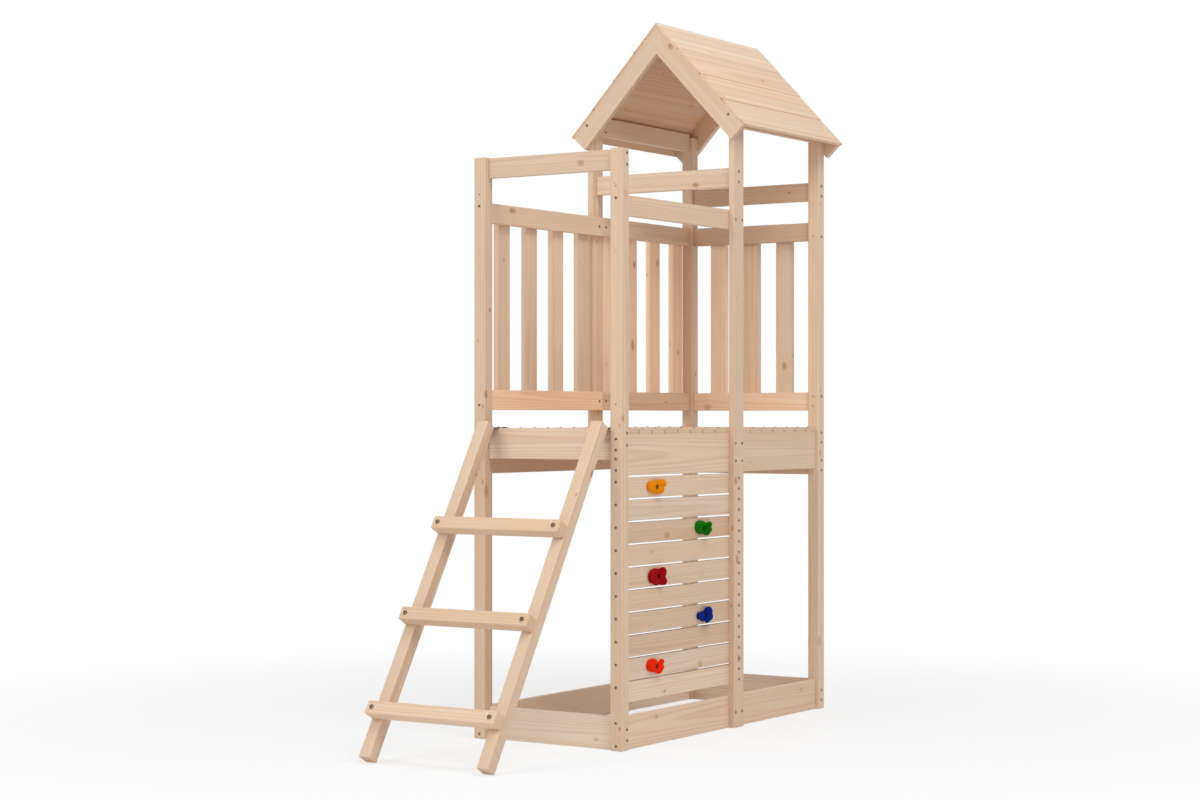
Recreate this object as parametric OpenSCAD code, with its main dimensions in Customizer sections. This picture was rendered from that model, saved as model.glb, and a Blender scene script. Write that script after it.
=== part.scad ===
// Wooden climbing tower: a narrow two-bay frame with a raised deck, slatted fences, a gabled roof over its
// rear bay, a leaning ladder at the front and a boarded climbing wall with bolt-on holds on its right.
// X runs across the tower, Y from the ladder to the back and Z up. The origin is on the ground, in the
// middle of the whole footprint, ladder included.

/* [Frame] */
// Width over the corner posts
frame_width = 500; // [460:5:540]
// Depth over the corner posts
frame_depth = 1170; // [1090:10:1250]
// Depth of the front bay, from the posts' front face to the middle planks
front_bay_depth = 594; // [560:2:630]
// Side of a square corner post
post_size = 38; // [35:1:42]
// Width of a plank
plank_width = 57; // [52:1:62]
// Thickness of a plank
plank_thickness = 18; // [15:1:20]
// Gap between the front boards and the deck behind them
front_board_gap = 2; // [0.5:0.5:4]
// How far the front posts stand above the handrail
post_top_margin = 2; // [0:0.5:10]

/* [Base] */
// Height of the boards that stand on the ground
base_board_height = 92; // [80:1:105]

/* [Platform] */
// Height of the deck above the ground
platform_height = 881; // [830:1:930]
// Thickness of a deck board
deck_thickness = 15; // [12:1:18]
// Number of deck boards
deck_board_count = 16; // [14:1:18]
// Gap between deck boards
deck_board_gap = 6.4; // [3:0.1:10]
// Height of a side beam
side_beam_height = 114; // [100:1:125]
// Height of the front beam
front_beam_height = 86; // [75:1:100]
// Height of the rear beam
rear_beam_height = 148; // [125:1:160]

/* [Rails and fences] */
// Height of the fences' lower edge above the deck
fence_lift = 52; // [40:1:80]
// Height of a fence over both its rails
fence_height = 589; // [520:1:650]
// Distance from the fences' top edge up to the top rails
top_rail_gap = 68; // [50:1:100]
// Number of slats in each left fence
side_slat_count = 4; // [3:1:5]
// Number of slats in the rear fence
rear_slat_count = 3; // [2:1:4]
// Gap between the left front post and the first slat behind it
front_slat_start_gap = 67; // [55:1:85]
// Gap between the left front fence's last slat and the middle plank
front_slat_end_gap = 21; // [4:1:30]
// Gap between the middle plank and the left rear fence's first slat
rear_slat_start_gap = 2; // [1:1:12]
// Gap between the left rear fence's last slat and the rear post
rear_slat_end_gap = 15; // [4:1:24]
// How far the rear fence's slats stand left of an even spacing
back_slat_shift = 10; // [0:1:20]
// Distance of the slats' ends from the rails' outer edges
slat_inset = 5; // [0:1:10]

/* [Climbing wall] */
// Distance from the base board up to the lowest climbing board
wall_foot_gap = 36; // [20:1:60]
// Gap between climbing boards
climbing_board_gap = 5.4; // [3:0.1:9]
// Width of a hold along the wall
hold_width = 76; // [66:1:86]
// Height of a hold
hold_height = 48; // [42:1:54]
// How far a hold stands out from the wall
hold_depth = 34; // [28:1:40]

/* [Roof] */
// Slope of the roof in degrees
roof_pitch = 46.6; // [42:0.1:50]
// Distance from the top rails up to the eave plates
eave_gap = 124; // [105:1:145]
// Height of an eave plate
eave_plate_height = 56; // [48:1:66]
// Reach of the eaves beyond the middle planks
eave_overhang = 47; // [38:1:55]
// Number of boards on each slope
roof_board_count = 4; // [3:1:6]
// Thickness of a roof board at its lower edge
roof_board_butt = 8; // [7.5:0.5:12]
// Thickness of a roof board at its upper edge
roof_board_feather = 7; // [4:0.5:7]
// Reach of the roof boards beyond the rafters at both ends
roof_end_overhang = 0.5; // [0.5:0.5:10]
// Distance of the rafters' feet from the eave, along the slope
rafter_inset = 1; // [0.5:0.5:10]

/* [Ladder] */
// Lean of the ladder from the ground in degrees
ladder_lean = 59.1; // [56:0.1:64]
// Side of a square ladder rail
ladder_rail_size = 37; // [32:1:40]
// Gap between the ladder and each front post
ladder_side_gap = 1.3; // [0.5:0.1:4]
// Height of the rails' rear top corners above the deck
ladder_top_rise = 3; // [2.5:0.1:8]
// Distance from the posts' front face to the rails' rear top corners
ladder_front_gap = 4; // [1:1:15]
// Distance of the lowest rung from the rails' feet
first_rung = 128; // [100:1:160]
// Distance between rungs along the rails
rung_pitch = 278.5; // [260:0.5:300]
// Width of a rung along the rails
rung_width = 38; // [34:1:42]
// Depth of a rung in front of the rails
rung_depth = 37; // [33:1:41]
// Thickness of a bracket's steel
bracket_thickness = 2.5; // [2:0.1:2.5]
// Width of a bracket, across the rail
bracket_width = 30; // [28:1:32]
// Length of a bracket's leg on the deck, behind the posts' front face
bracket_deck_leg = 66; // [60:1:80]
// Length of a bracket's leg down the rail
bracket_rail_leg = 44; // [36:1:60]

/* [Fasteners] */
// Diameter of a screw's shank
screw_diameter = 4.5; // [3.5:0.1:5]
// Diameter of a screw's head
screw_head_diameter = 8; // [7:0.1:9]
// Height of a screw's head
screw_head_height = 1.6; // [1:0.1:2.5]
// Depth of a screw in end grain or in the edge of a beam
end_bite = 24; // [16:1:26]
// Diameter of a bolt's shank
bolt_diameter = 8; // [6:0.5:10]
// Diameter of a bolt's head
bolt_head_diameter = 13; // [11:0.5:15]
// Height of a bolt's head
bolt_head_height = 5; // [3:0.5:7]
// Width of a nut over its corners
nut_width = 15; // [13:0.5:17]
// Thickness of a nut
nut_thickness = 6.5; // [5:0.5:8]
// Length of a bolt's end beyond its nut
bolt_end = 2; // [1:0.5:4]
// Play of a shank in its hole, on each side
hole_play = 0.1; // [0.05:0.05:0.3]

/* [Hidden] */
$fn = 32;

// Colours
pine = [0.85, 0.73, 0.63];
shaded_pine = [0.78, 0.65, 0.54];
steel = [0.36, 0.36, 0.37];
black_steel = [0.09, 0.09, 0.09];
hold_colours = [
    [0.93, 0.57, 0.02], [0.06, 0.45, 0.05], [0.66, 0.02, 0.08], [0.02, 0.12, 0.50], [0.93, 0.18, 0.02]
];
hold_names = ["yellow_hold", "green_hold", "red_hold", "blue_hold", "orange_hold"];

// Sides of the tower
left = -1;
right = 1;
sides = [left, right];

// Overrun of every cut beyond the face that it opens
overrun = 1;
// Gap between roof boards, under them over the plates and posts, and beyond a screw's tip
fit_gap = 0.3;

// Places across the tower, on its right side
half_width = frame_width / 2;
post_inner_x = half_width - post_size;
post_mid_x = half_width - post_size / 2;
side_outer_x = post_mid_x + plank_thickness / 2;
side_inner_x = side_outer_x - plank_thickness;
middle_outer_x = side_outer_x + plank_thickness;
middle_mid_x = side_outer_x + plank_thickness / 2;

// The ladder's rails are cut to the height of the deck, and lean from their feet on the ground
ladder_rail_length = (platform_height + ladder_top_rise) / sin(ladder_lean);
ladder_run = ladder_front_gap + ladder_rail_length * cos(ladder_lean);
ladder_reach = ladder_run + ladder_rail_size * sin(ladder_lean);
ladder_outer_x = post_inner_x - ladder_side_gap;
ladder_rail_mid_x = ladder_outer_x - ladder_rail_size / 2;
rung_count = 3;

// Places from front to back: the footprint's middle is at zero
roof_reach = frame_depth + plank_thickness + roof_end_overhang;
front_y = (ladder_reach - roof_reach) / 2;
front_inner_y = front_y + post_size;
front_board_back_y = front_inner_y - front_board_gap;
front_board_y = front_board_back_y - plank_thickness;
front_board_mid_y = front_board_y + plank_thickness / 2;
middle_front_y = front_y + front_bay_depth;
middle_y = middle_front_y + plank_width / 2;
middle_back_y = middle_front_y + plank_width;
rear_y = front_y + frame_depth;
rear_inner_y = rear_y - post_size;
rear_board_mid_y = rear_y - post_size / 2;
rear_board_y = rear_board_mid_y - plank_thickness / 2;
rear_board_back_y = rear_board_y + plank_thickness;
ladder_foot_y = front_y - ladder_run;
roof_front_y = middle_front_y - plank_thickness - roof_end_overhang;
roof_rear_y = rear_y + plank_thickness + roof_end_overhang;

// Heights, stacked from the deck upwards and downwards
side_beam_top_z = platform_height - deck_thickness;
side_beam_z = side_beam_top_z - side_beam_height;
front_beam_z = platform_height - front_beam_height;
rear_beam_z = platform_height - rear_beam_height;
fence_z = platform_height + fence_lift;
fence_top_z = fence_z + fence_height;
fence_top_rail_z = fence_top_z - plank_width;
top_rail_z = fence_top_z + top_rail_gap;
top_rail_top_z = top_rail_z + plank_width;
front_post_top_z = top_rail_top_z + post_top_margin;
eave_plate_z = top_rail_top_z + eave_gap;
eave_plate_top_z = eave_plate_z + eave_plate_height;

// The roof's underside is a plane on each slope that just clears the eave plates
function roof_line(x) = eave_plate_top_z + fit_gap + (side_outer_x - x) * tan(roof_pitch);
rear_post_top_z = roof_line(half_width) - fit_gap;
middle_top_z = roof_line(middle_outer_x) - fit_gap;
roof_slope = (middle_outer_x + eave_overhang - roof_board_butt * sin(roof_pitch)) / cos(roof_pitch);
roof_board_width = roof_slope / roof_board_count;
rafter_length = roof_slope - rafter_inset;

// Boards that share a space evenly
deck_depth = rear_inner_y - front_inner_y;
deck_pitch = (deck_depth + deck_board_gap) / deck_board_count;
deck_board_width = deck_pitch - deck_board_gap;
climbing_board_count = 10;
wall_foot_z = base_board_height + wall_foot_gap;
climbing_board_pitch = (side_beam_z - wall_foot_z) / climbing_board_count;
climbing_board_height = climbing_board_pitch - climbing_board_gap;
front_slat_first_y = front_inner_y + front_slat_start_gap;
front_slat_run = middle_front_y - front_slat_end_gap - plank_width - front_slat_first_y;
front_slat_pitch = front_slat_run / (side_slat_count - 1);
rear_slat_first_y = middle_back_y + rear_slat_start_gap;
rear_slat_run = rear_inner_y - rear_slat_end_gap - plank_width - rear_slat_first_y;
rear_slat_pitch = rear_slat_run / (side_slat_count - 1);
back_slat_gap = (2 * post_inner_x - rear_slat_count * plank_width) / (rear_slat_count + 1);
back_slat_pitch = plank_width + back_slat_gap;
back_slat_first_x = -post_inner_x + back_slat_gap - back_slat_shift;

// Lower edge of a climbing board, counted from the top of the wall
function climbing_board_z(board) = side_beam_z - board * climbing_board_pitch;
// Front edge of a deck board, counted from the front
function deck_board_y(board) = front_inner_y + board * deck_pitch;
// Front edges of the left fences' slats and left edges of the rear fence's slats
front_slat_ys = [for (i = [0 : side_slat_count - 1]) front_slat_first_y + i * front_slat_pitch];
rear_slat_ys = [for (i = [0 : side_slat_count - 1]) rear_slat_first_y + i * rear_slat_pitch];
back_slat_xs = [for (i = [0 : rear_slat_count - 1]) back_slat_first_x + i * back_slat_pitch];

// Heights of screws, as shares of the board that they hold
rail_screw_shares = [0.25, 0.80];
front_beam_screw_shares = [0.47, 0.86];
rear_beam_screw_shares = [0.09, 0.30, 0.68, 0.89];
base_side_screw_shares = [0.30, 0.63];
side_beam_end_shares = [0.13, 0.40, 0.62, 0.88];
base_end_shares = [0.15, 0.83];
top_rail_end_share = 0.81;
bottom_rail_end_share = 0.25;
rear_top_rail_share = 0.22;
rear_bottom_rail_share = 0.78;
climbing_end_share = 0.80;
climbing_middle_shares = [0.23, 0.77];
middle_beam_shares = [0.28, 0.73];
centre_share = 0.5;
eave_plate_screw_share = 0.22;
// Distance of a pair of screws from the middle of a middle plank, as a share of its width
middle_pair_share = 0.32;
// Place of a deck screw across its board
deck_screw_share = 0.45;
// Depth of a screw in the face of a plank, as a share of its thickness
face_bite_share = 0.75;
// Height of the spare pilot holes: over the fence's top edge, and up the rails of the rear fence
spare_hole_rise = 22;
spare_hole_depth = 10;
// Distance of a rafter's screw below the top of what it is driven into
rafter_screw_drop = 8;
// Places of a bracket's screws: from its rear end, from its lower end and apart
bracket_screw_inset = 14;
bracket_screw_spread = 18;
bracket_bite = 12;

post_screw_length = post_size + end_bite;
plank_end_screw_length = plank_thickness + end_bite;
plank_face_screw_length = plank_thickness * (1 + face_bite_share);
deck_screw_length = deck_thickness + end_bite;
rear_rafter_screw_length = plank_thickness + post_size + end_bite;
bracket_screw_length = bracket_thickness + bracket_bite;
middle_pair = middle_pair_share * plank_width;

// Heights of a row of screws in a board that starts at one height
function rows(low_z, height, shares) = [for (share = shares) low_z + share * height];

// Screws along X through an upright's outer face, and outwards through a board's inner face
function inward(side, x, y, z, length) = [[side * x, y, z], [-side, 0, 0], length];
function outward(side, x, y, z, length) = [[side * x, y, z], [side, 0, 0], length];
// Screws along Y, towards the back and towards the front, and downwards
function rearward(x, y, z, length) = [[x, y, z], [0, 1, 0], length];
function forward(x, y, z, length) = [[x, y, z], [0, -1, 0], length];
function downward(x, y, z, length) = [[x, y, z], [0, 0, -1], length];

front_board_screw_zs = concat(
    rows(top_rail_z, plank_width, rail_screw_shares),
    rows(front_beam_z, front_beam_height, front_beam_screw_shares),
    rows(0, base_board_height, base_side_screw_shares)
);
rear_board_screw_zs = concat(
    rows(top_rail_z, plank_width, rail_screw_shares),
    rows(fence_top_rail_z, plank_width, [rear_top_rail_share]),
    rows(fence_z, plank_width, [rear_bottom_rail_share]),
    rows(rear_beam_z, rear_beam_height, rear_beam_screw_shares),
    rows(0, base_board_height, base_side_screw_shares)
);
side_board_screw_zs = concat(
    rows(side_beam_z, side_beam_height, side_beam_end_shares),
    rows(0, base_board_height, base_end_shares)
);
top_rail_end_zs = rows(fence_top_rail_z, plank_width, [top_rail_end_share]);
bottom_rail_end_zs = rows(fence_z, plank_width, [bottom_rail_end_share]);
climbing_end_zs = [
    for (board = [1 : climbing_board_count])
        climbing_board_z(board) + climbing_end_share * climbing_board_height
];

// Screws of the corner posts
post_screws = concat(
    [for (side = sides, z = front_board_screw_zs)
        inward(side, half_width, front_board_mid_y, z, post_screw_length)],
    [for (side = sides, z = rear_board_screw_zs)
        inward(side, half_width, rear_board_mid_y, z, post_screw_length)],
    [for (side = sides, z = concat(side_board_screw_zs, top_rail_end_zs))
        rearward(side * post_mid_x, front_y, z, post_screw_length)],
    [for (z = bottom_rail_end_zs) rearward(left * post_mid_x, front_y, z, post_screw_length)],
    [for (z = climbing_end_zs) rearward(right * post_mid_x, front_y, z, post_screw_length)],
    [for (side = sides, z = side_board_screw_zs)
        forward(side * post_mid_x, rear_y, z, post_screw_length)],
    [for (z = concat(top_rail_end_zs, bottom_rail_end_zs))
        forward(left * post_mid_x, rear_y, z, post_screw_length)]
);

// Screws of the middle planks: the cross rail, the beams, and on one side the wall or the fences
middle_screws = concat(
    [for (side = sides, z = rows(top_rail_z, plank_width, rail_screw_shares))
        inward(side, middle_outer_x, middle_y, z, plank_end_screw_length)],
    [for (side = sides, y = sides, z = rows(side_beam_z, side_beam_height, middle_beam_shares))
        inward(side, middle_outer_x, middle_y + y * middle_pair, z, plank_face_screw_length)],
    [for (y = sides, z = rows(fence_top_rail_z, plank_width, [centre_share]))
        inward(right, middle_outer_x, middle_y + y * middle_pair, z, plank_face_screw_length)],
    [for (y = sides, z = rows(0, base_board_height, [centre_share]))
        inward(right, middle_outer_x, middle_y + y * middle_pair, z, plank_face_screw_length)],
    [for (board = [1 : climbing_board_count], share = climbing_middle_shares)
        inward(right, middle_outer_x, middle_y, climbing_board_z(board) + share * climbing_board_height,
            plank_face_screw_length)],
    [for (y = sides, z = [fence_z, fence_top_rail_z])
        outward(left, side_inner_x, middle_y + y * middle_pair, z + centre_share * plank_width,
            plank_face_screw_length)],
    [for (side = sides)
        outward(side, side_inner_x, middle_y + middle_pair,
            eave_plate_z + eave_plate_screw_share * eave_plate_height, plank_face_screw_length)]
);

// Screws of the deck, the slats and the rafters
board_screws = concat(
    [for (side = sides, board = [0 : deck_board_count - 1])
        downward(side * post_mid_x, deck_board_y(board) + deck_screw_share * deck_board_width,
            platform_height, deck_screw_length)],
    [for (y = concat(front_slat_ys, rear_slat_ys), z = [fence_z, fence_top_rail_z])
        inward(left, middle_outer_x, y + plank_width / 2, z + plank_width / 2, plank_face_screw_length)],
    [for (x = back_slat_xs, z = [fence_z, fence_top_rail_z])
        forward(x + plank_width / 2, rear_board_back_y + plank_thickness, z + plank_width / 2,
            plank_face_screw_length)],
    [for (side = sides)
        rearward(side * middle_mid_x, middle_front_y - plank_thickness, middle_top_z - rafter_screw_drop,
            plank_end_screw_length)],
    [for (side = sides)
        forward(side * post_mid_x, rear_y + plank_thickness, rear_post_top_z - rafter_screw_drop,
            rear_rafter_screw_length)]
);

// Screws that hold the brackets down on the deck
bracket_deck_screws = [
    for (side = sides, x = sides)
        downward(side * ladder_rail_mid_x + x * bracket_screw_spread / 2,
            front_y + bracket_deck_leg - bracket_screw_inset, platform_height + bracket_thickness,
            bracket_screw_length)
];
screws = concat(post_screws, middle_screws, board_screws, bracket_deck_screws);

// Pilot holes that the posts have and this arrangement leaves empty
spare_holes = concat(
    [for (side = sides)
        rearward(side * post_mid_x, front_y, fence_top_z + spare_hole_rise, spare_hole_depth)],
    [for (z = bottom_rail_end_zs) rearward(right * post_mid_x, front_y, z, spare_hole_depth)],
    [for (z = concat(bottom_rail_end_zs, rows(fence_z, plank_width, [rear_bottom_rail_share]),
            rows(fence_top_rail_z, plank_width, [rear_top_rail_share])))
        rearward(right * post_mid_x, rear_inner_y, z, spare_hole_depth)]
);
holes = concat(screws, spare_holes);
hole_radius = screw_diameter / 2 + hole_play;

// Whether a hole reaches into the box between two corners
function reaches(hole, low, high) =
    let (tip = hole[0] + hole[1] * hole[2])
    min([for (i = [0 : 2]) min(
        high[i] - min(hole[0][i], tip[i]) + hole_radius,
        max(hole[0][i], tip[i]) + hole_radius - low[i])]) > 0;

// Turns children so that up becomes the screw's direction, with the surface at zero
module at_screw(screw) {
    way = screw[1];
    translate(screw[0])
        rotate([0, acos(way[2]), atan2(way[1], way[0])])
            children();
}

// One pan-head screw, with its head above the surface
module pan_screw(length) {
    shank = screw_diameter / 2;
    head = screw_head_diameter / 2;
    rotate_extrude()
        polygon([
            [0, -screw_head_height], [head, -screw_head_height], [head, 0],
            [shank, 0], [shank, length], [0, length]
        ]);
}

// The hole of one screw, open at the surface
module screw_hole(length) {
    translate([0, 0, -overrun])
        cylinder(r = hole_radius, h = length + fit_gap + overrun);
}

// Every screw hole that reaches into the box between two corners
module screw_holes(low, high) {
    for (hole = holes)
        if (reaches(hole, low, high))
            at_screw(hole)
                screw_hole(hole[2]);
}

// A square-cut timber between two corners, drilled for its screws
module timber(low, high, colour = pine) {
    color(colour)
        difference() {
            translate(low)
                cube(high - low);
            screw_holes(low, high);
        }
}

// A timber on one side of the tower, between distances from the middle
module side_timber(side, x, y, z, colour = pine) {
    xs = side == right ? x : [-x[1], -x[0]];
    timber([xs[0], y[0], z[0]], [xs[1], y[1], z[1]], colour);
}

// Corner posts and middle planks
module corner_post(side, y, top_z) {
    side_timber(side, [post_inner_x, half_width], [y, y + post_size], [0, top_z]);
}
module front_left_post() {
    corner_post(left, front_y, front_post_top_z);
}
module front_right_post() {
    corner_post(right, front_y, front_post_top_z);
}
module rear_left_post() {
    corner_post(left, rear_inner_y, rear_post_top_z);
}
module rear_right_post() {
    corner_post(right, rear_inner_y, rear_post_top_z);
}
module middle_plank(side, low_z) {
    side_timber(side, [side_outer_x, middle_outer_x], [middle_front_y, middle_back_y], [low_z, middle_top_z]);
}
module middle_left_plank() {
    middle_plank(left, side_beam_z);
}
module middle_right_plank() {
    middle_plank(right, 0);
}

// Boards across the front and the back, between the posts
module front_board(z) {
    timber([-post_inner_x, front_board_y, z[0]], [post_inner_x, front_board_back_y, z[1]]);
}
module rear_board(z) {
    timber([-post_inner_x, rear_board_y, z[0]], [post_inner_x, rear_board_back_y, z[1]]);
}
// A board along a side, in the plane of the posts' middle
module side_board(side, y, z) {
    side_timber(side, [side_inner_x, side_outer_x], y, z);
}

module front_base_board() {
    front_board([0, base_board_height]);
}
module rear_base_board() {
    rear_board([0, base_board_height]);
}
module left_base_board() {
    side_board(left, [front_inner_y, rear_inner_y], [0, base_board_height]);
}
module right_front_base_board() {
    side_board(right, [front_inner_y, middle_y], [0, base_board_height]);
}
module right_rear_base_board() {
    side_board(right, [middle_y, rear_inner_y], [0, base_board_height]);
}

module front_beam() {
    front_board([front_beam_z, platform_height]);
}
module rear_beam() {
    rear_board([rear_beam_z, platform_height]);
}
module left_front_beam() {
    side_board(left, [front_inner_y, middle_y], [side_beam_z, side_beam_top_z]);
}
module left_rear_beam() {
    side_board(left, [middle_y, rear_inner_y], [side_beam_z, side_beam_top_z]);
}
module right_front_beam() {
    side_board(right, [front_inner_y, middle_y], [side_beam_z, side_beam_top_z]);
}
module right_rear_beam() {
    side_board(right, [middle_y, rear_inner_y], [side_beam_z, side_beam_top_z]);
}
module deck_boards() {
    for (board = [0 : deck_board_count - 1])
        timber([-side_outer_x, deck_board_y(board), side_beam_top_z],
            [side_outer_x, deck_board_y(board) + deck_board_width, platform_height]);
}

// Rails above the deck
module handrail() {
    front_board([top_rail_z, top_rail_top_z]);
}
module guard_rail() {
    side_board(right, [front_inner_y, middle_back_y], [fence_top_rail_z, fence_top_z]);
}
module cross_rail() {
    timber([-side_outer_x, middle_y - plank_thickness / 2, top_rail_z],
        [side_outer_x, middle_y + plank_thickness / 2, top_rail_top_z]);
}
module rear_top_rail() {
    rear_board([top_rail_z, top_rail_top_z]);
}

// Fences: two rails each, and slats on their outer faces
fence_rail_zs = [[fence_z, fence_z + plank_width], [fence_top_rail_z, fence_top_z]];
slat_zs = [fence_z + slat_inset, fence_top_z - slat_inset];
module left_front_fence_rails() {
    for (z = fence_rail_zs)
        side_board(left, [front_inner_y, middle_y], z);
}
module left_rear_fence_rails() {
    for (z = fence_rail_zs)
        side_board(left, [middle_y, rear_inner_y], z);
}
module rear_fence_rails() {
    for (z = fence_rail_zs)
        rear_board(z);
}
module left_slats(ys) {
    for (y = ys)
        side_timber(left, [side_outer_x, middle_outer_x], [y, y + plank_width], slat_zs);
}
module left_front_fence_slats() {
    left_slats(front_slat_ys);
}
module left_rear_fence_slats() {
    left_slats(rear_slat_ys);
}
module rear_fence_slats() {
    for (x = back_slat_xs)
        timber([x, rear_board_back_y, slat_zs[0]],
            [x + plank_width, rear_board_back_y + plank_thickness, slat_zs[1]]);
}

// Climbing wall: boards from the top down, and a hold on every other board
hold_count = len(hold_names);
hold_step = climbing_board_count / hold_count;
// Place of each hold along the wall, from the front post to the middle plank
hold_place_shares = [0.245, 0.70, 0.255, 0.715, 0.24];
// Lobes of each hold: centre across, up and out, and radius, as shares of width, height, depth and height
hold_lobe_shares = [
    [[-0.18, 0.02, 0.25, 0.39], [0.36, 0.21, 0.48, 0.25], [0.22, 0, 0.12, 0.43], [0.17, -0.03, 0.36, 0.38]],
    [[-0.12, 0.08, 0.16, 0.38], [0.3, 0.22, 0.5, 0.2], [0.16, -0.05, 0.42, 0.39], [0.07, 0.04, 0.09, 0.42]],
    [[-0.12, -0.02, 0.3, 0.48], [0.36, 0.26, 0.4, 0.26], [0.38, -0.25, 0.32, 0.3], [0.26, 0.04, 0.33, 0.33]],
    [[-0.17, -0.08, 0.28, 0.3], [0.28, 0.2, 0.4, 0.28], [0.3, -0.2, 0.26, 0.32], [0.17, 0, 0.44, 0.34]],
    [[-0.19, 0.06, 0.27, 0.38], [0.18, -0.08, 0.3, 0.4], [0.27, 0.22, 0.48, 0.2], [0.06, 0.05, 0.4, 0.34]]
];
// Height of the bolt's seat inside a hold
hold_seat_share = 0.22;
hold_seat = hold_seat_share * hold_depth;
hold_bolt_length = hold_seat + plank_thickness + nut_thickness + bolt_end;

// The board that carries a hold, counted from the top
function hold_board(hold) = hold * hold_step + 1;
function hold_y(hold) = front_inner_y + hold_place_shares[hold] * (middle_front_y - front_inner_y);
function hold_z(hold) = climbing_board_z(hold_board(hold)) + climbing_board_height / 2;

// Turns children so that up points out of the wall at a hold
module at_hold(hold) {
    translate([side_outer_x, hold_y(hold), hold_z(hold)])
        rotate([90, 0, 90])
            children();
}
module bolt_hole(length) {
    translate([0, 0, -length])
        cylinder(d = bolt_diameter + 2 * hole_play, h = length + overrun);
}
module climbing_board(board) {
    difference() {
        side_board(right, [front_inner_y, middle_back_y],
            [climbing_board_z(board), climbing_board_z(board) + climbing_board_height]);
        for (hold = [0 : hold_count - 1])
            if (hold_board(hold) == board)
                at_hold(hold)
                    bolt_hole(plank_thickness + overrun);
    }
}

// One lumpy hold with a flat back, a bolt hole and a well for the bolt's head
module hold(index) {
    color(hold_colours[index])
        at_hold(index)
            difference() {
                intersection() {
                    union() {
                        for (lobe = hold_lobe_shares[index])
                            translate([lobe[0] * hold_width, lobe[1] * hold_height, lobe[2] * hold_depth])
                                sphere(r = lobe[3] * hold_height);
                    }
                    translate([-hold_width, -hold_width, 0])
                        cube([2 * hold_width, 2 * hold_width, 2 * hold_depth]);
                }
                translate([0, 0, hold_seat])
                    bolt_hole(hold_seat + overrun);
                translate([0, 0, hold_seat])
                    cylinder(d = bolt_head_diameter + 2 * hole_play, h = 2 * hold_depth);
            }
}

// A bolt with its head above the surface, and the nut behind the pieces that it holds
module bolt(length) {
    shank = bolt_diameter / 2;
    head = bolt_head_diameter / 2;
    rotate_extrude()
        polygon([
            [0, bolt_head_height], [head, bolt_head_height], [head, 0],
            [shank, 0], [shank, -length], [0, -length]
        ]);
}
module nut() {
    translate([0, 0, -nut_thickness])
        difference() {
            cylinder(d = nut_width, h = nut_thickness, $fn = 6);
            translate([0, 0, -overrun])
                cylinder(d = bolt_diameter + 2 * hole_play, h = nut_thickness + 2 * overrun);
        }
}
module hold_bolts() {
    color(steel)
        for (hold = [0 : hold_count - 1])
            at_hold(hold)
                translate([0, 0, hold_seat])
                    bolt(hold_bolt_length);
}

// Roof, drawn as outlines across the tower: out from the ridge along X, and up
ridge_z = roof_line(0);
function slope_point(along, above) = [
    along * cos(roof_pitch) + above * sin(roof_pitch),
    ridge_z - along * sin(roof_pitch) + above * cos(roof_pitch)
];
// Stands an outline up and draws it out from front to back
module across(side, y) {
    mirror([side == left ? 1 : 0, 0, 0])
        translate([0, y[1], 0])
            rotate([90, 0, 0])
                linear_extrude(height = y[1] - y[0])
                    children();
}
module rafter(side, y) {
    foot = slope_point(rafter_length, 0);
    heel = slope_point(rafter_length, -plank_width);
    xs = side == right ? [0, foot[0]] : [-foot[0], 0];
    color(pine)
        difference() {
            across(side, y)
                polygon([[0, ridge_z], [0, ridge_z - plank_width / cos(roof_pitch)], heel, foot]);
            screw_holes([xs[0], y[0], heel[1]], [xs[1], y[1], ridge_z]);
        }
}
front_rafter_ys = [middle_front_y - plank_thickness, middle_front_y];
rear_rafter_ys = [rear_y, rear_y + plank_thickness];
module front_left_rafter() {
    rafter(left, front_rafter_ys);
}
module front_right_rafter() {
    rafter(right, front_rafter_ys);
}
module rear_left_rafter() {
    rafter(left, rear_rafter_ys);
}
module rear_right_rafter() {
    rafter(right, rear_rafter_ys);
}
// Tapered boards, thick at the lower edge; the uppermost is mitred at the ridge
module roof_boards(side) {
    color(pine)
        for (board = [0 : roof_board_count - 1]) {
            upper = board * roof_board_width;
            lower = upper + roof_board_width - (board < roof_board_count - 1 ? fit_gap : 0);
            crown = [0, ridge_z + roof_board_feather / cos(roof_pitch)];
            across(side, [roof_front_y, roof_rear_y])
                polygon([
                    slope_point(upper, 0), slope_point(lower, 0), slope_point(lower, roof_board_butt),
                    board == 0 ? crown : slope_point(upper, roof_board_feather)
                ]);
        }
}
module left_roof_boards() {
    roof_boards(left);
}
module right_roof_boards() {
    roof_boards(right);
}
module eave_plates() {
    for (side = sides)
        side_timber(side, [side_inner_x, side_outer_x], [middle_front_y, rear_inner_y],
            [eave_plate_z, eave_plate_top_z], shaded_pine);
}

// Ladder, drawn upright with its rails' back faces at zero and then leaned over on their rear lower edges
module leaned() {
    translate([0, ladder_foot_y, 0])
        rotate([ladder_lean - 90, 0, 0])
            children();
}
ladder_bolt_length = rung_depth + ladder_rail_size + nut_thickness + bolt_end;
bracket_rail_screw_z = ladder_rail_length - bracket_rail_leg + bracket_screw_inset;
function rung_z(rung) = first_rung + rung * rung_pitch;

// Turns children so that up points out of a rung's face, at each end of it
module at_rung_bolts(rung) {
    for (side = sides)
        translate([side * ladder_rail_mid_x, -ladder_rail_size - rung_depth, rung_z(rung)])
            rotate([90, 0, 0])
                children();
}
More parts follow.
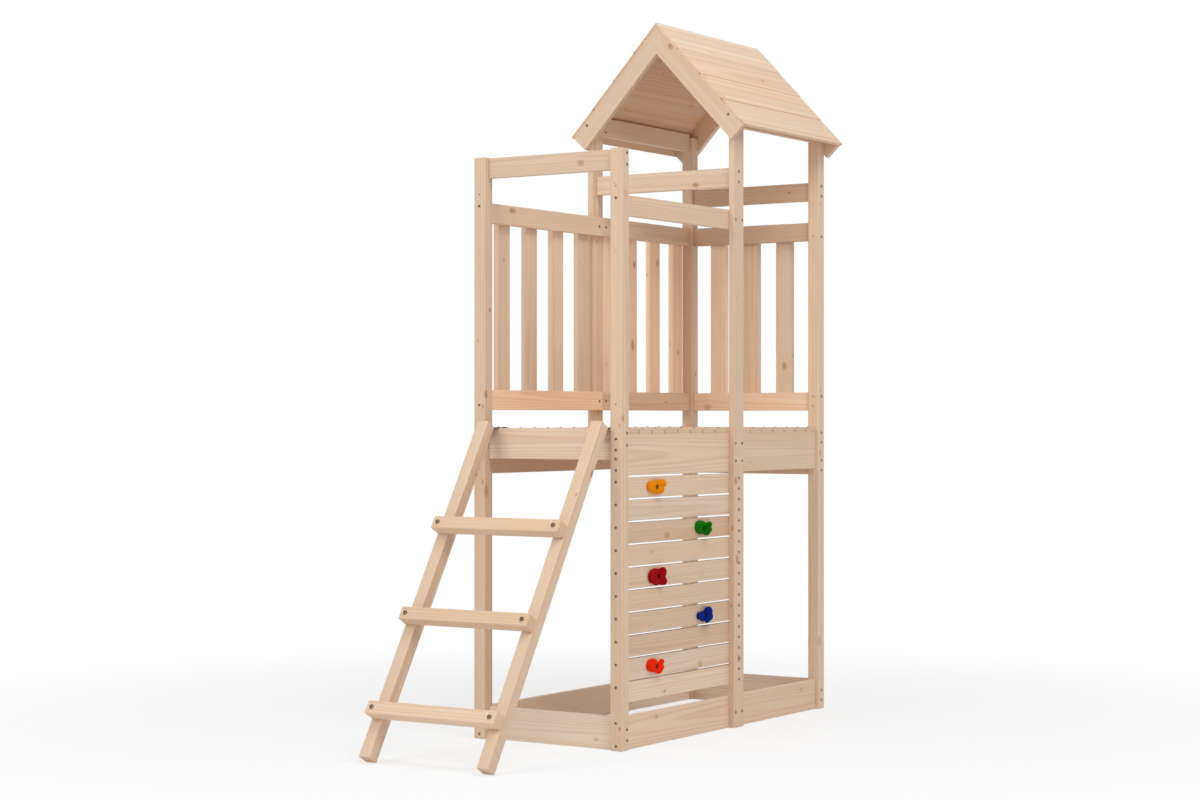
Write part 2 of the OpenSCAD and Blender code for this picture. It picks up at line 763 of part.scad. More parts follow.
// Turns children so that up points into the rail from a bracket's face
module at_bracket_rail_screws(side) {
    for (x = sides)
        translate([
            side * ladder_rail_mid_x + x * bracket_screw_spread / 2, bracket_thickness, bracket_rail_screw_z
        ])
            rotate([90, 0, 0])
                children();
}
module ladder_rail(side) {
    color(pine)
        leaned()
            difference() {
                translate([side * ladder_rail_mid_x - ladder_rail_size / 2, -ladder_rail_size, 0])
                    cube([ladder_rail_size, ladder_rail_size, ladder_rail_length]);
                for (rung = [0 : rung_count - 1])
                    at_rung_bolts(rung)
                        bolt_hole(ladder_bolt_length);
                at_bracket_rail_screws(side)
                    screw_hole(bracket_screw_length);
            }
}
module left_ladder_rail() {
    ladder_rail(left);
}
module right_ladder_rail() {
    ladder_rail(right);
}
module ladder_rung(rung) {
    color(pine)
        leaned()
            difference() {
                translate([-ladder_outer_x, -ladder_rail_size - rung_depth, rung_z(rung) - rung_width / 2])
                    cube([2 * ladder_outer_x, rung_depth, rung_width]);
                at_rung_bolts(rung)
                    bolt_hole(ladder_bolt_length);
            }
}
module ladder_bolts() {
    color(steel)
        leaned()
            for (rung = [0 : rung_count - 1])
                at_rung_bolts(rung)
                    bolt(ladder_bolt_length);
}
// The nuts of the ladder's bolts and of the holds' bolts
module bolt_nuts() {
    color(steel) {
        leaned()
            for (rung = [0 : rung_count - 1])
                at_rung_bolts(rung)
                    translate([0, 0, -rung_depth - ladder_rail_size])
                        nut();
        for (hold = [0 : hold_count - 1])
            at_hold(hold)
                translate([0, 0, -plank_thickness])
                    nut();
    }
}

// Bent steel brackets: one leg on the deck, the other down the back of the rail
// A point in the ladder's own plane: along the rail from its foot, and behind its back face
function rail_point(along, behind) = [
    ladder_foot_y + along * cos(ladder_lean) + behind * sin(ladder_lean),
    along * sin(ladder_lean) - behind * cos(ladder_lean)
];
// Distance along the rail at which a line behind it reaches a height
function rail_along(z, behind) = (z + behind * cos(ladder_lean)) / sin(ladder_lean);
module bracket(side) {
    deck_z = platform_height;
    top_z = deck_z + bracket_thickness;
    rear = front_y + bracket_deck_leg;
    low = ladder_rail_length - bracket_rail_leg;
    translate([side * ladder_rail_mid_x - bracket_width / 2, 0, 0])
        rotate([90, 0, 90])
            linear_extrude(height = bracket_width)
                polygon([
                    rail_point(low, 0), rail_point(rail_along(top_z, 0), 0), [rear, top_z], [rear, deck_z],
                    rail_point(rail_along(deck_z, bracket_thickness), bracket_thickness),
                    rail_point(low, bracket_thickness)
                ]);
}
module ladder_brackets() {
    color(black_steel)
        for (side = sides)
            difference() {
                bracket(side);
                for (screw = bracket_deck_screws)
                    at_screw(screw)
                        screw_hole(bracket_screw_length);
                leaned()
                    at_bracket_rail_screws(side)
                        screw_hole(bracket_screw_length);
            }
}

module frame_screws() {
    color(steel) {
        for (screw = screws)
            at_screw(screw)
                pan_screw(screw[2]);
        leaned()
            for (side = sides)
                at_bracket_rail_screws(side)
                    pan_screw(bracket_screw_length);
    }
}

front_left_post();
front_right_post();
rear_left_post();
rear_right_post();
middle_left_plank();
middle_right_plank();
front_base_board();
rear_base_board();
left_base_board();
right_front_base_board();
right_rear_base_board();
front_beam();
rear_beam();
left_front_beam();
left_rear_beam();
right_front_beam();
right_rear_beam();
deck_boards();
handrail();
guard_rail();
cross_rail();
rear_top_rail();
left_front_fence_rails();
left_rear_fence_rails();
rear_fence_rails();
left_front_fence_slats();
left_rear_fence_slats();
rear_fence_slats();
for (board = [1 : climbing_board_count])
    climbing_board(board);
for (index = [0 : hold_count - 1])
    hold(index);
front_left_rafter();
front_right_rafter();
rear_left_rafter();
rear_right_rafter();
left_roof_boards();
right_roof_boards();
eave_plates();
left_ladder_rail();
right_ladder_rail();
for (rung = [1 : rung_count])
    ladder_rung(rung - 1);
ladder_brackets();
frame_screws();
ladder_bolts();
hold_bolts();
bolt_nuts();
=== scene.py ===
"""Looks of the wooden climbing frame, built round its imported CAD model.

Each board is made again from the CAD solid that it stands for, with rounded arrises and a grain
that follows the board. The screws, bolts and moulded holds are made again as detailed pieces in
the same places.
"""

import logging
import math
from collections.abc import Iterable, Sequence
from dataclasses import dataclass
from enum import Enum
from functools import cache, partial, reduce
from typing import ClassVar

import bmesh
import bpy
import numpy as np
from bpy.types import Material, Mesh, Node, NodeSocket, NodeTree, Object
from mathutils import Matrix, Vector, noise


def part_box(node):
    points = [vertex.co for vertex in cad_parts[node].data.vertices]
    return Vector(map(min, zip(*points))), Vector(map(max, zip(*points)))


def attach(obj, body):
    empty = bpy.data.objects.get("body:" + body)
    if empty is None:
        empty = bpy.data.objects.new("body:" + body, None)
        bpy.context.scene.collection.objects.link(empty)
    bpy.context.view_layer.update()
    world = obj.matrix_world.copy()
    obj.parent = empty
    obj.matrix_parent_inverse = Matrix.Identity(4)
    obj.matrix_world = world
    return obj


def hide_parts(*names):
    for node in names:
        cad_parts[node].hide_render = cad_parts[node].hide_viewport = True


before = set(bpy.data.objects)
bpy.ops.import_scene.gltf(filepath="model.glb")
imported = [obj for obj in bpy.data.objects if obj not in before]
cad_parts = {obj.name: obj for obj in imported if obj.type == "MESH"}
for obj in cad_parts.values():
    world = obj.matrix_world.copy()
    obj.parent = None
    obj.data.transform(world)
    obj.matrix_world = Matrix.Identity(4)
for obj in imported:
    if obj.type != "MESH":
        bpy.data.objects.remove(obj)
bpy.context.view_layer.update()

LOG = logging.getLogger("climbing_frame")
BODY = "root"
MM = 0.001
FLAT = 3e-5  # least distance of a corner from the line of its neighbours, in metres
MERGE_DIGITS = 6  # decimals of a metre to which two CAD points are the same
ARRIS_FACETS = 3
ARRIS_TURN = 0.25  # how far below 1 the largest part of a normal falls on a full arris
QUARTER = math.radians(90)
WHITE = (1.0, 1.0, 1.0, 1.0)
OBJECT_SPACE = "object"
FLOAT, VECTOR, COLOUR = "NodeSocketFloat", "NodeSocketVector", "NodeSocketColor"
GEOMETRY, MATERIAL = "NodeSocketGeometry", "NodeSocketMaterial"
SURFACE = {"Color": COLOUR, "Roughness": FLOAT, "Height": FLOAT}
Colour = tuple[float, float, float, float]
Rings = tuple[tuple[float, float], ...]
Feed = Node | NodeSocket | float | Sequence[float]


class Axis(Enum):
    """A direction of the object's frame."""

    X = 0
    Y = 1
    Z = 2

    def vector(self) -> Vector:
        """Gives the unit vector of the direction."""
        return Vector([float(i == self.value) for i in range(3)])


class Recess(Enum):
    """The drive in the head of a screw or bolt."""

    CROSS = "cross"
    HEX = "hex"


def linear(red: int, green: int, blue: int) -> Colour:
    """Turns a colour as written on a screen, from 0 to 255, into a linear one by the sRGB curve."""
    shares = [value / 255 for value in (red, green, blue)]
    return (*(s / 12.92 if s <= 0.04045 else ((s + 0.055) / 1.055) ** 2.4 for s in shares), 1.0)


class Wiring:
    """Adds nodes to one tree and links them by socket or by value."""

    def __init__(self, tree: NodeTree) -> None:
        """Takes the tree to add to."""
        self.tree = tree

    def feed(self, socket: NodeSocket, value: Feed) -> None:
        """Links a socket to another one, or sets its value.

        Args:
            socket: The input to feed.
            value: The output that feeds it, a node for its first output, or a plain value.
        """
        if isinstance(value, Node):
            value = value.outputs[0]
        if isinstance(value, NodeSocket):
            self.tree.links.new(value, socket)
        else:
            socket.default_value = value

    def fill(self, node: Node, inputs: dict[str | int, Feed]) -> None:
        """Feeds several inputs of a node, by name or place."""
        for key, value in inputs.items():
            self.feed(node.inputs[key], value)

    def add(self, kind: str, inputs: dict[str | int, Feed] | None = None,
            **settings: object) -> Node:
        """Adds one node.

        Args:
            kind: Blender's name of the node type.
            inputs: What feeds each input, by name or place.
            settings: Properties of the node, set before its inputs.

        Returns:
            The new node.
        """
        node = self.tree.nodes.new(kind)
        for key, value in settings.items():
            setattr(node, key, value)
        self.fill(node, inputs or {})
        return node

    def math(self, operation: str, *values: Feed) -> NodeSocket:
        """Works out one to three values and gives the result."""
        return self.add("ShaderNodeMath", dict(enumerate(values)), operation=operation).outputs[0]

    def total(self, *values: Feed) -> NodeSocket:
        """Adds up all the values."""
        return reduce(partial(self.math, "ADD"), values)

    def product(self, *values: Feed) -> NodeSocket:
        """Multiplies all the values."""
        return reduce(partial(self.math, "MULTIPLY"), values)

    def weighted(self, *terms: tuple[Feed, float], base: float = 0.0) -> NodeSocket:
        """Adds up values, each times its weight, and then a base."""
        return self.total(*(self.product(*term) for term in terms), base)

    def centred(self, value: Feed) -> NodeSocket:
        """Moves a value between 0 and 1 to between -0.5 and 0.5."""
        return self.math("SUBTRACT", value, 0.5)

    def square(self, value: Feed) -> NodeSocket:
        """Multiplies a value by itself."""
        return self.math("POWER", value, 2.0)

    def bell(self, *values: Feed) -> NodeSocket:
        """Falls off softly from 1 where all the values are 0."""
        squares = self.total(*map(self.square, values))
        return self.math("EXPONENT", self.product(squares, -1.0))

    def away(self, x: Feed, y: Feed) -> NodeSocket:
        """Gives how far a point lies from where two axes cross."""
        return self.math("SQRT", self.total(self.square(x), self.square(y)))

    def join(self, x: Feed, y: Feed, z: Feed) -> NodeSocket:
        """Makes a vector of three values."""
        return self.add("ShaderNodeCombineXYZ", {0: x, 1: y, 2: z}).outputs[0]

    def split(self, vector: Feed) -> list[NodeSocket]:
        """Takes a vector apart into its three values."""
        return list(self.add("ShaderNodeSeparateXYZ", {0: vector}).outputs)

    def smooth(self, value: Feed, start: float, end: float) -> NodeSocket:
        """Rises smoothly from 0 at start to 1 at end, or falls where end lies below start."""
        low, high = sorted((start, end))
        return self.add("ShaderNodeMapRange", {
            "Value": value, "From Min": low, "From Max": high, "To Min": float(low == end),
            "To Max": float(high == end)}, interpolation_type="SMOOTHSTEP").outputs[0]

    def blend(self, share: Feed, first: Feed, second: Feed, mode: str = "MIX") -> NodeSocket:
        """Mixes two colours by a share, through the colour sockets of a node with other kinds."""
        return self.add("ShaderNodeMix", {0: share, 6: first, 7: second},
                        data_type="RGBA", blend_type=mode).outputs[2]

    def cloud(self, spot: Feed, scale: float, detail: float = 2.0,
              rough: float = 0.5) -> NodeSocket:
        """Gives soft noise between 0 and 1."""
        return self.add("ShaderNodeTexNoise", {
            "Vector": spot, "Scale": scale, "Detail": detail, "Roughness": rough}).outputs[0]

    def lots(self, x: Feed, y: Feed, z: Feed) -> list[NodeSocket]:
        """Draws three random values that depend on three keys."""
        drawn = self.add("ShaderNodeTexWhiteNoise", {"Vector": self.join(x, y, z)},
                         noise_dimensions="3D")
        return list(self.add("ShaderNodeSeparateColor", {0: drawn.outputs["Color"]}).outputs)


def start_tree(kind: str, name: str, inputs: dict[str, str],
               outputs: dict[str, str]) -> tuple[Wiring, Sequence[NodeSocket], Node]:
    """Starts a node group with named sockets.

    Args:
        kind: Blender's name of the tree type.
        name: Name of the group.
        inputs: Type of each input socket, by name.
        outputs: Type of each output socket, by name.

    Returns:
        The wiring of the group, the sockets that give its inputs, and its output node.
    """
    tree = bpy.data.node_groups.new(name, kind)
    for way, sockets in (("INPUT", inputs), ("OUTPUT", outputs)):
        for socket, sort in sockets.items():
            tree.interface.new_socket(socket, in_out=way, socket_type=sort)
    given = tree.nodes.new("NodeGroupInput")
    return Wiring(tree), given.outputs, tree.nodes.new("NodeGroupOutput")


@dataclass(frozen=True)
class KnotForm:
    """How a knot is drawn, mostly in shares of its stretch of board or of its own radius."""

    first_place: float = 0.3
    place_room: float = 0.4
    side_room: float = 0.74
    end_fade: float = 0.18
    skin: float = 0.35
    least_girth: float = 0.5
    girth_room: float = 1.1
    least_force: float = 0.35
    force_room: float = 0.65
    least_oval: float = 0.5
    oval_room: float = 0.45
    ragged_scale: float = 140.0
    raggedness: float = 0.7
    glow_length: float = 4.2
    glow_width: float = 2.1
    core_edge: tuple[float, float] = (1.25, 0.6)
    rim_width: float = 0.16
    ring_count: float = 2.6
    grain_push: float = -0.88


@dataclass(frozen=True)
class KnotKind:
    """One kind of knot: its spacing and radius in metres, how likely it is, and how dark."""

    spacing: float
    radius: float
    share: float
    strength: float


@dataclass(frozen=True)
class Heart:
    """Where the growth rings of a board have their middle, and how they waver, in metres."""

    side_room: float = 0.085
    least_depth: float = 0.018
    depth_room: float = 0.07
    side_wander: float = 0.012
    depth_wander: float = 0.005
    taper: float = 0.018
    ripple: float = 0.0016


SOUND_KNOTS = KnotKind(spacing=0.27, radius=0.0062, share=1.0, strength=0.86)
PIN_KNOTS = KnotKind(spacing=0.21, radius=0.0030, share=0.7, strength=0.76)


class ShaderGroups:
    """Shader node groups that several finishes share, each built once."""

    @staticmethod
    @cache
    def knots() -> NodeTree:
        """Builds the knots that cross a board, at most one in each stretch of it.

        Returns:
            The group, with the knots' masks and how far they push the grain aside.
        """
        form = KnotForm()
        w, take, out = start_tree(
            "ShaderNodeTree", "pine_knots",
            {"Grain": VECTOR, "Width": FLOAT, "Depth": FLOAT, "Seed": FLOAT, "Spacing": FLOAT,
             "Radius": FLOAT, "Chance": FLOAT, "Reach": FLOAT},
            {"Shift": FLOAT, "Core": FLOAT, "Rim": FLOAT, "Glow": FLOAT, "Rings": FLOAT})
        x, y, z = w.split(take["Grain"])
        along = w.math("DIVIDE", x, take["Spacing"])
        stretch, part = w.math("FLOOR", along), w.math("FRACT", along)
        place, side, chance = w.lots(stretch, take["Seed"], 0.37)
        girth, oval, force = w.lots(stretch, take["Seed"], 5.91)
        middle = w.product(w.total(stretch, form.first_place, w.product(place, form.place_room)),
                           take["Spacing"])
        dx = w.math("SUBTRACT", x, middle)
        dy = w.math("SUBTRACT", y, w.product(w.centred(side), take["Width"], form.side_room))
        radius = w.product(take["Radius"], w.total(w.product(girth, girth, form.girth_room),
                                                   form.least_girth))
        under = w.math("SUBTRACT", w.product(take["Depth"], 0.5), w.math("ABSOLUTE", z))
        there = w.product(w.math("LESS_THAN", chance, take["Chance"]),
                          w.weighted((force, form.force_room), base=form.least_force),
                          w.smooth(part, 0.0, form.end_fade),
                          w.smooth(part, 1.0, 1 - form.end_fade),
                          w.smooth(w.math("DIVIDE", under, take["Reach"]), 1.0, form.skin))
        ragged = w.product(w.centred(w.cloud(take["Grain"], form.ragged_scale)), form.raggedness)
        flat = w.product(dx, w.weighted((oval, form.oval_room), base=form.least_oval))
        far = w.total(w.math("DIVIDE", w.away(flat, dy), radius), ragged)
        glow = w.product(there, w.bell(w.math("DIVIDE", dx, w.product(radius, form.glow_length)),
                                       w.math("DIVIDE", dy, w.product(radius, form.glow_width))))
        rim = w.bell(w.math("DIVIDE", w.math("SUBTRACT", far, 1.0), form.rim_width))
        w.fill(out, {
            "Shift": w.product(dy, glow, form.grain_push), "Glow": glow,
            "Rim": w.product(there, rim), "Core": w.product(there, w.smooth(far, *form.core_edge)),
            "Rings": w.math("PINGPONG", w.product(far, form.ring_count), 1.0)})
        return w.tree

    @staticmethod
    @cache
    def pine() -> NodeTree:
        """Builds sawn pine in a board's own measures, with its rings, fibres, streaks and knots.

        Returns:
            The group, which puts out colour, roughness and height.
        """
        heart = Heart()
        w, take, out = start_tree(
            "ShaderNodeTree", "sawn_pine",
            {"Grain": VECTOR, "Size": VECTOR, "Seed": FLOAT, "End": FLOAT, "Arris": FLOAT,
             "Early": COLOUR, "Late": COLOUR, "Warm": COLOUR, "Knot": COLOUR, "Ring Width": FLOAT,
             "Contrast": FLOAT, "Knot Chance": FLOAT, "Knot Reach": FLOAT, "Tint": VECTOR}, SURFACE)
        seed, grain = take["Seed"], take["Grain"]
        x, y, z = w.split(grain)
        _, wide, deep = w.split(take["Size"])

        def knots_of(kind: KnotKind, spot: NodeSocket, width: NodeSocket,
                     depth: NodeSocket) -> Sequence[NodeSocket]:
            """Places one kind of knot, which shows on the sides that the spot's last axis meets."""
            return w.add("ShaderNodeGroup", {
                "Grain": spot, "Width": width, "Depth": depth, "Seed": seed,
                "Spacing": kind.spacing, "Radius": kind.radius, "Reach": take["Knot Reach"],
                "Chance": w.product(take["Knot Chance"], kind.share)},
                node_tree=ShaderGroups.knots()).outputs

        sound = knots_of(SOUND_KNOTS, grain, wide, deep)
        pins = knots_of(PIN_KNOTS, w.join(x, z, y), deep, wide)
        lean, sunk, taper = w.lots(seed, 3.1, 0.7)
        shade, blush, hue = w.lots(seed, 9.7, 4.2)
        across, through = w.total(y, sound["Shift"]), w.total(z, pins["Shift"])
        offset = w.product(seed, 1.73)

        def drawn_out(along: float, over: float, detail: float = 2.0,
                      rough: float = 0.5) -> NodeSocket:
            """Gives noise drawn out along the grain, by its scales along and over the board."""
            spot = w.join(w.total(w.product(x, along), offset), w.product(across, over),
                          w.product(through, over))
            return w.cloud(spot, 1.0, detail, rough)

        wander, ripple = w.centred(drawn_out(0.8, 6.0)), w.centred(drawn_out(4.5, 28.0))
        fibre, streak = drawn_out(7.0, 380.0, 3.0, 0.65), drawn_out(1.5, 62.0)
        tone = drawn_out(1.1, 8.0)
        pith_y = w.total(across, w.product(w.centred(lean), heart.side_room),
                         w.product(wander, heart.side_wander))
        pith_z = w.total(through, w.product(sunk, heart.depth_room), heart.least_depth,
                         w.product(wander, heart.depth_wander))
        cone = w.product(x, w.centred(taper), heart.taper)
        years = w.total(w.away(pith_y, pith_z), cone, w.product(ripple, heart.ripple))
        year = w.math("FRACT", w.math("DIVIDE", years, take["Ring Width"]))
        late = w.product(w.smooth(year, 0.25, 0.84), w.smooth(year, 1.0, 0.90))
        colour = w.blend(w.product(late, take["Contrast"], w.weighted((streak, 0.9), base=0.35)),
                         take["Early"], take["Late"])
        warmth = w.weighted((w.smooth(streak, 0.48, 0.74), 0.34), (w.smooth(tone, 0.5, 0.8), 0.30),
                            (blush, 0.18))
        colour = w.blend(warmth, colour, take["Warm"])
        light = w.weighted((w.centred(fibre), 0.20), (w.centred(tone), 0.12),
                           (w.centred(shade), 0.09), base=1.0)
        green = w.total(light, w.product(w.centred(hue), 0.018))
        colour = w.blend(1.0, colour, w.join(light, green, light), "MULTIPLY")
        # multiplies by each board's tone: partly its own, partly painted light or shade
        colour = w.blend(1.0, colour, take["Tint"], "MULTIPLY")
        ends = w.smooth(take["End"], 0.35, 0.8)
        layers = []
        for knots, kind in ((sound, SOUND_KNOTS), (pins, PIN_KNOTS)):
            ringed = w.product(knots["Core"], w.weighted((knots["Rings"], 0.35), base=0.65))
            layers += [(knots["Glow"], 0.5, "Warm"), (ringed, kind.strength, "Knot"),
                       (knots["Rim"], 0.2, "Knot")]
        # the arris mask lightens rounded edges: partly worn edges, partly a painted highlight where
        # the round-over catches the light
        for mask, strength, tint in (*layers, (ends, 0.25, "Late"), (take["Arris"], 0.22, "Early")):
            colour = w.blend(w.product(mask, strength), colour, take[tint])
        core = w.math("MAXIMUM", sound["Core"], pins["Core"])
        w.fill(out, {
            "Color": colour, "Height": w.weighted((fibre, 0.55), (late, 0.30), (core, 0.4)),
            "Roughness": w.weighted((fibre, 0.16), (late, -0.06), (ends, 0.12), (core, -0.12),
                                    base=0.54)})
        return w.tree

    @staticmethod
    @cache
    def grit() -> NodeTree:
        """Builds the sandy skin of a moulded hold, with painted shade round its bolt well.

        Returns:
            The group, which puts out colour, roughness and height.
        """
        w, take, out = start_tree(
            "ShaderNodeTree", "moulded_grit",
            {"Vector": VECTOR, "Tint": COLOUR, "Worn": COLOUR, "Hollow": FLOAT}, SURFACE)
        spot = take["Vector"]
        grains, clouds = w.cloud(spot, 900.0, 3.0, 0.6), w.cloud(spot, 55.0)
        pits = w.add("ShaderNodeTexVoronoi", {"Vector": spot, "Scale": 420.0}).outputs["Distance"]
        colour = w.blend(w.product(w.smooth(grains, 0.5, 0.8), 0.55), take["Tint"], take["Worn"])
        # the well mask darkens the skin near the bolt: painted shade in the recess
        light = w.product(w.weighted((clouds, 0.22), (pits, 0.18), base=0.80),
                          w.weighted((take["Hollow"], -0.3), base=1.0))
        w.fill(out, {
            "Color": w.blend(1.0, colour, w.join(light, light, light), "MULTIPLY"),
            "Roughness": w.weighted((grains, 0.26), (clouds, 0.10), base=0.46),
            "Height": w.weighted((grains, 0.6), (pits, 0.5))})
        return w.tree

    @staticmethod
    @cache
    def metal() -> NodeTree:
        """Builds the stains and fine scratches of plated or coated steel.

        Returns:
            The group, which puts out colour, roughness and height.
        """
        w, take, out = start_tree("ShaderNodeTree", "handled_metal", {
            "Vector": VECTOR, "Clean": COLOUR, "Stained": COLOUR}, SURFACE)
        stain = w.smooth(w.cloud(take["Vector"], 210.0, 3.0, 0.6), 0.38, 0.7)
        x, y, z = w.split(take["Vector"])
        drawn_out = w.join(w.product(x, 2600.0), w.product(y, 2600.0), w.product(z, 260.0))
        scratch = w.cloud(drawn_out, 1.0)
        w.fill(out, {
            "Color": w.blend(stain, take["Clean"], take["Stained"]),
            "Roughness": w.weighted((stain, 0.18), (scratch, 0.16), base=0.28),
            "Height": w.weighted((scratch, 0.5), (stain, 0.3))})
        return w.tree


def shaded(name: str, group: NodeTree, inputs: dict[str, Feed], reads: dict[str, str],
           bump: tuple[float, float], shader: dict[str, float]) -> Material:
    """Makes a material whose colour, roughness and height come from a shared group.

    Args:
        name: Name of the material.
        group: The group to place in it.
        inputs: Plain values of the group's inputs.
        reads: Attribute that each other input reads, or OBJECT_SPACE for Object coordinates.
        bump: Strength and distance of the bump, in metres.
        shader: Plain values of the shader's own sockets.

    Returns:
        The material.
    """
    material = bpy.data.materials.new(name)
    material.use_nodes = True
    w = Wiring(material.node_tree)
    effect = w.add("ShaderNodeGroup", inputs, node_tree=group)
    for key, source in reads.items():
        if source == OBJECT_SPACE:
            value = w.add("ShaderNodeTexCoord").outputs["Object"]
        else:
            read = w.add("ShaderNodeAttribute", attribute_name=source)
            value = read.outputs["Vector" if effect.inputs[key].type == "VECTOR" else "Fac"]
        w.feed(effect.inputs[key], value)
    lift = w.add("ShaderNodeBump", {
        "Strength": bump[0], "Distance": bump[1], "Height": effect.outputs["Height"]})
    principled = next(n for n in w.tree.nodes if n.type == "BSDF_PRINCIPLED")
    w.fill(principled, {
        "Base Color": effect.outputs["Color"], "Roughness": effect.outputs["Roughness"],
        "Normal": lift.outputs["Normal"], **shader})
    return material


@dataclass(frozen=True)
class PineFinish:
    """Bare planed pine, with its ring width and the depth of its knots' marks in metres."""

    name: str
    early: Colour = linear(228, 201, 175)
    late: Colour = linear(205, 165, 131)
    warm: Colour = linear(222, 181, 146)
    knot: Colour = linear(154, 102, 70)
    ring_width: float = 0.0046
    contrast: float = 0.55
    knot_chance: float = 0.42
    knot_reach: float = 6 * MM

    def material(self) -> Material:
        """Makes the material of the finish."""
        return shaded(
            self.name, ShaderGroups.pine(),
            {"Early": self.early, "Late": self.late, "Warm": self.warm, "Knot": self.knot,
             "Ring Width": self.ring_width, "Contrast": self.contrast,
             "Knot Chance": self.knot_chance, "Knot Reach": self.knot_reach},
            {"Grain": "grain_co", "Size": "board_size", "Seed": "board_seed", "End": "end_grain",
             "Arris": "arris", "Tint": "board_tint"},
            (0.35, 0.5 * MM), {"Specular IOR Level": 0.3})


@dataclass(frozen=True)
class PlasticFinish:
    """Through-dyed moulded plastic with a sandy skin."""

    name: str
    tint: Colour
    worn: Colour

    def material(self) -> Material:
        """Makes the material of the finish."""
        return shaded(self.name, ShaderGroups.grit(), {"Tint": self.tint, "Worn": self.worn},
                      {"Vector": OBJECT_SPACE, "Hollow": "hollow"}, (0.4, 0.5 * MM),
                      {"Specular IOR Level": 0.07})


@dataclass(frozen=True)
class SteelFinish:
    """Plated or coated steel."""

    name: str
    clean: Colour
    stained: Colour
    metallic: float

    def material(self) -> Material:
        """Makes the material of the finish."""
        return shaded(self.name, ShaderGroups.metal(),
                      {"Clean": self.clean, "Stained": self.stained}, {"Vector": OBJECT_SPACE},
                      (0.2, 0.2 * MM), {"Metallic": self.metallic})


def read_points(mesh: Mesh) -> np.ndarray:
    """Reads the places of a mesh's vertices.

    Args:
        mesh: The mesh.

    Returns:
        One row of three values for each vertex, in metres.
    """
    points = np.empty(len(mesh.vertices) * 3)
    mesh.vertices.foreach_get("co", points)
    return points.reshape(-1, 3)


def middle_of(points: np.ndarray) -> np.ndarray:
    """Gives the middle of the box round some points."""
    return (points.min(axis=0) + points.max(axis=0)) / 2


@cache
def solids(node: str) -> list[np.ndarray]:
    """Finds the separate solids of a CAD node.

    Args:
        node: Name of the node.

    Returns:
        The points of each solid in metres.
    """
    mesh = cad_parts[node].data
    points = np.round(read_points(mesh), MERGE_DIGITS)
    spots, spot_of = np.unique(points, axis=0, return_inverse=True)
    corners = np.empty(len(mesh.loops), dtype=np.int32)
    mesh.loops.foreach_get("vertex_index", corners)
    triangles = spot_of.ravel()[corners].reshape(-1, 3)
    label = np.arange(len(spots))
    while True:
        least = label[triangles].min(axis=1)
        new = label.copy()
        np.minimum.at(new, triangles.ravel(), np.repeat(least, 3))
        new = new[new]
        if np.array_equal(new, label):
            return [spots[label == one] for one in np.unique(label)]
        label = new


def outline_of(points: np.ndarray) -> list[tuple[float, float]]:
    """Finds the corners of the convex outline round flat points.

    Args:
        points: The points, two values each.

    Returns:
        The corners in order, without those that lie on a straight edge.
    """
    spots = sorted(set(map(tuple, points.tolist())))

    def off(a: tuple, b: tuple, c: tuple) -> float:
        """Gives how far b lies off the line from a to c, to its right."""
        run = (c[0] - a[0], c[1] - a[1])
        return ((b[1] - a[1]) * -run[0] + (b[0] - a[0]) * run[1]) / max(math.hypot(*run), FLAT)

    def chain(line: Iterable[tuple]) -> list[tuple]:
        """Keeps the corners of one half of the outline.

        Args:
            line: The points, from one end to the other.

        Returns:
            The corners, without the last one.
        """
        kept: list[tuple] = []
        for spot in line:
            while len(kept) > 1 and off(kept[-2], kept[-1], spot) <= FLAT:
                kept.pop()
            kept.append(spot)
        return kept[:-1]

    return chain(spots) + chain(reversed(spots))


def close_rings(rings: Sequence[Sequence[Sequence[float]]]) -> bmesh.types.BMesh:
    """Joins rings of points into a closed skin.

    Args:
        rings: The rings from one end to the other, each with the same number of points.

    Returns:
        The skin, with a flat face at each end.
    """
    shape = bmesh.new()
    loops = [[shape.verts.new(spot) for spot in ring] for ring in rings]
    shape.faces.new(loops[0])
    shape.faces.new(loops[-1])
    for low, high in zip(loops, loops[1:]):
        for i in range(len(low)):
            shape.faces.new((low[i - 1], low[i], high[i], high[i - 1]))
    bmesh.ops.recalc_face_normals(shape, faces=shape.faces)
    return shape


def to_mesh(shape: bmesh.types.BMesh, name: str) -> Mesh:
    """Turns an edited shape into a mesh.

    Args:
        shape: The shape, which is freed.
        name: Name of the mesh.

    Returns:
        The mesh.
    """
    mesh = bpy.data.meshes.new(name)
    shape.to_mesh(mesh)
    shape.free()
    return mesh


def lathe(profile: Sequence[tuple[float, float]], steps: int, turn: Matrix | None = None) -> Mesh:
    """Turns a profile round the Z axis into a closed mesh.

    Args:
        profile: Radius and height of each ring, from the bottom to the top.
        steps: Facets round the axis.
        turn: Where the finished mesh is put, if not at the origin.

    Returns:
        The mesh, with flat faces at both ends.
    """
    angles = [math.tau * i / steps for i in range(steps)]
    shape = close_rings([[(radius * math.cos(a), radius * math.sin(a), height) for a in angles]
                         for radius, height in profile])
    if turn is not None:
        bmesh.ops.transform(shape, matrix=turn, verts=shape.verts)
    return to_mesh(shape, "turned")


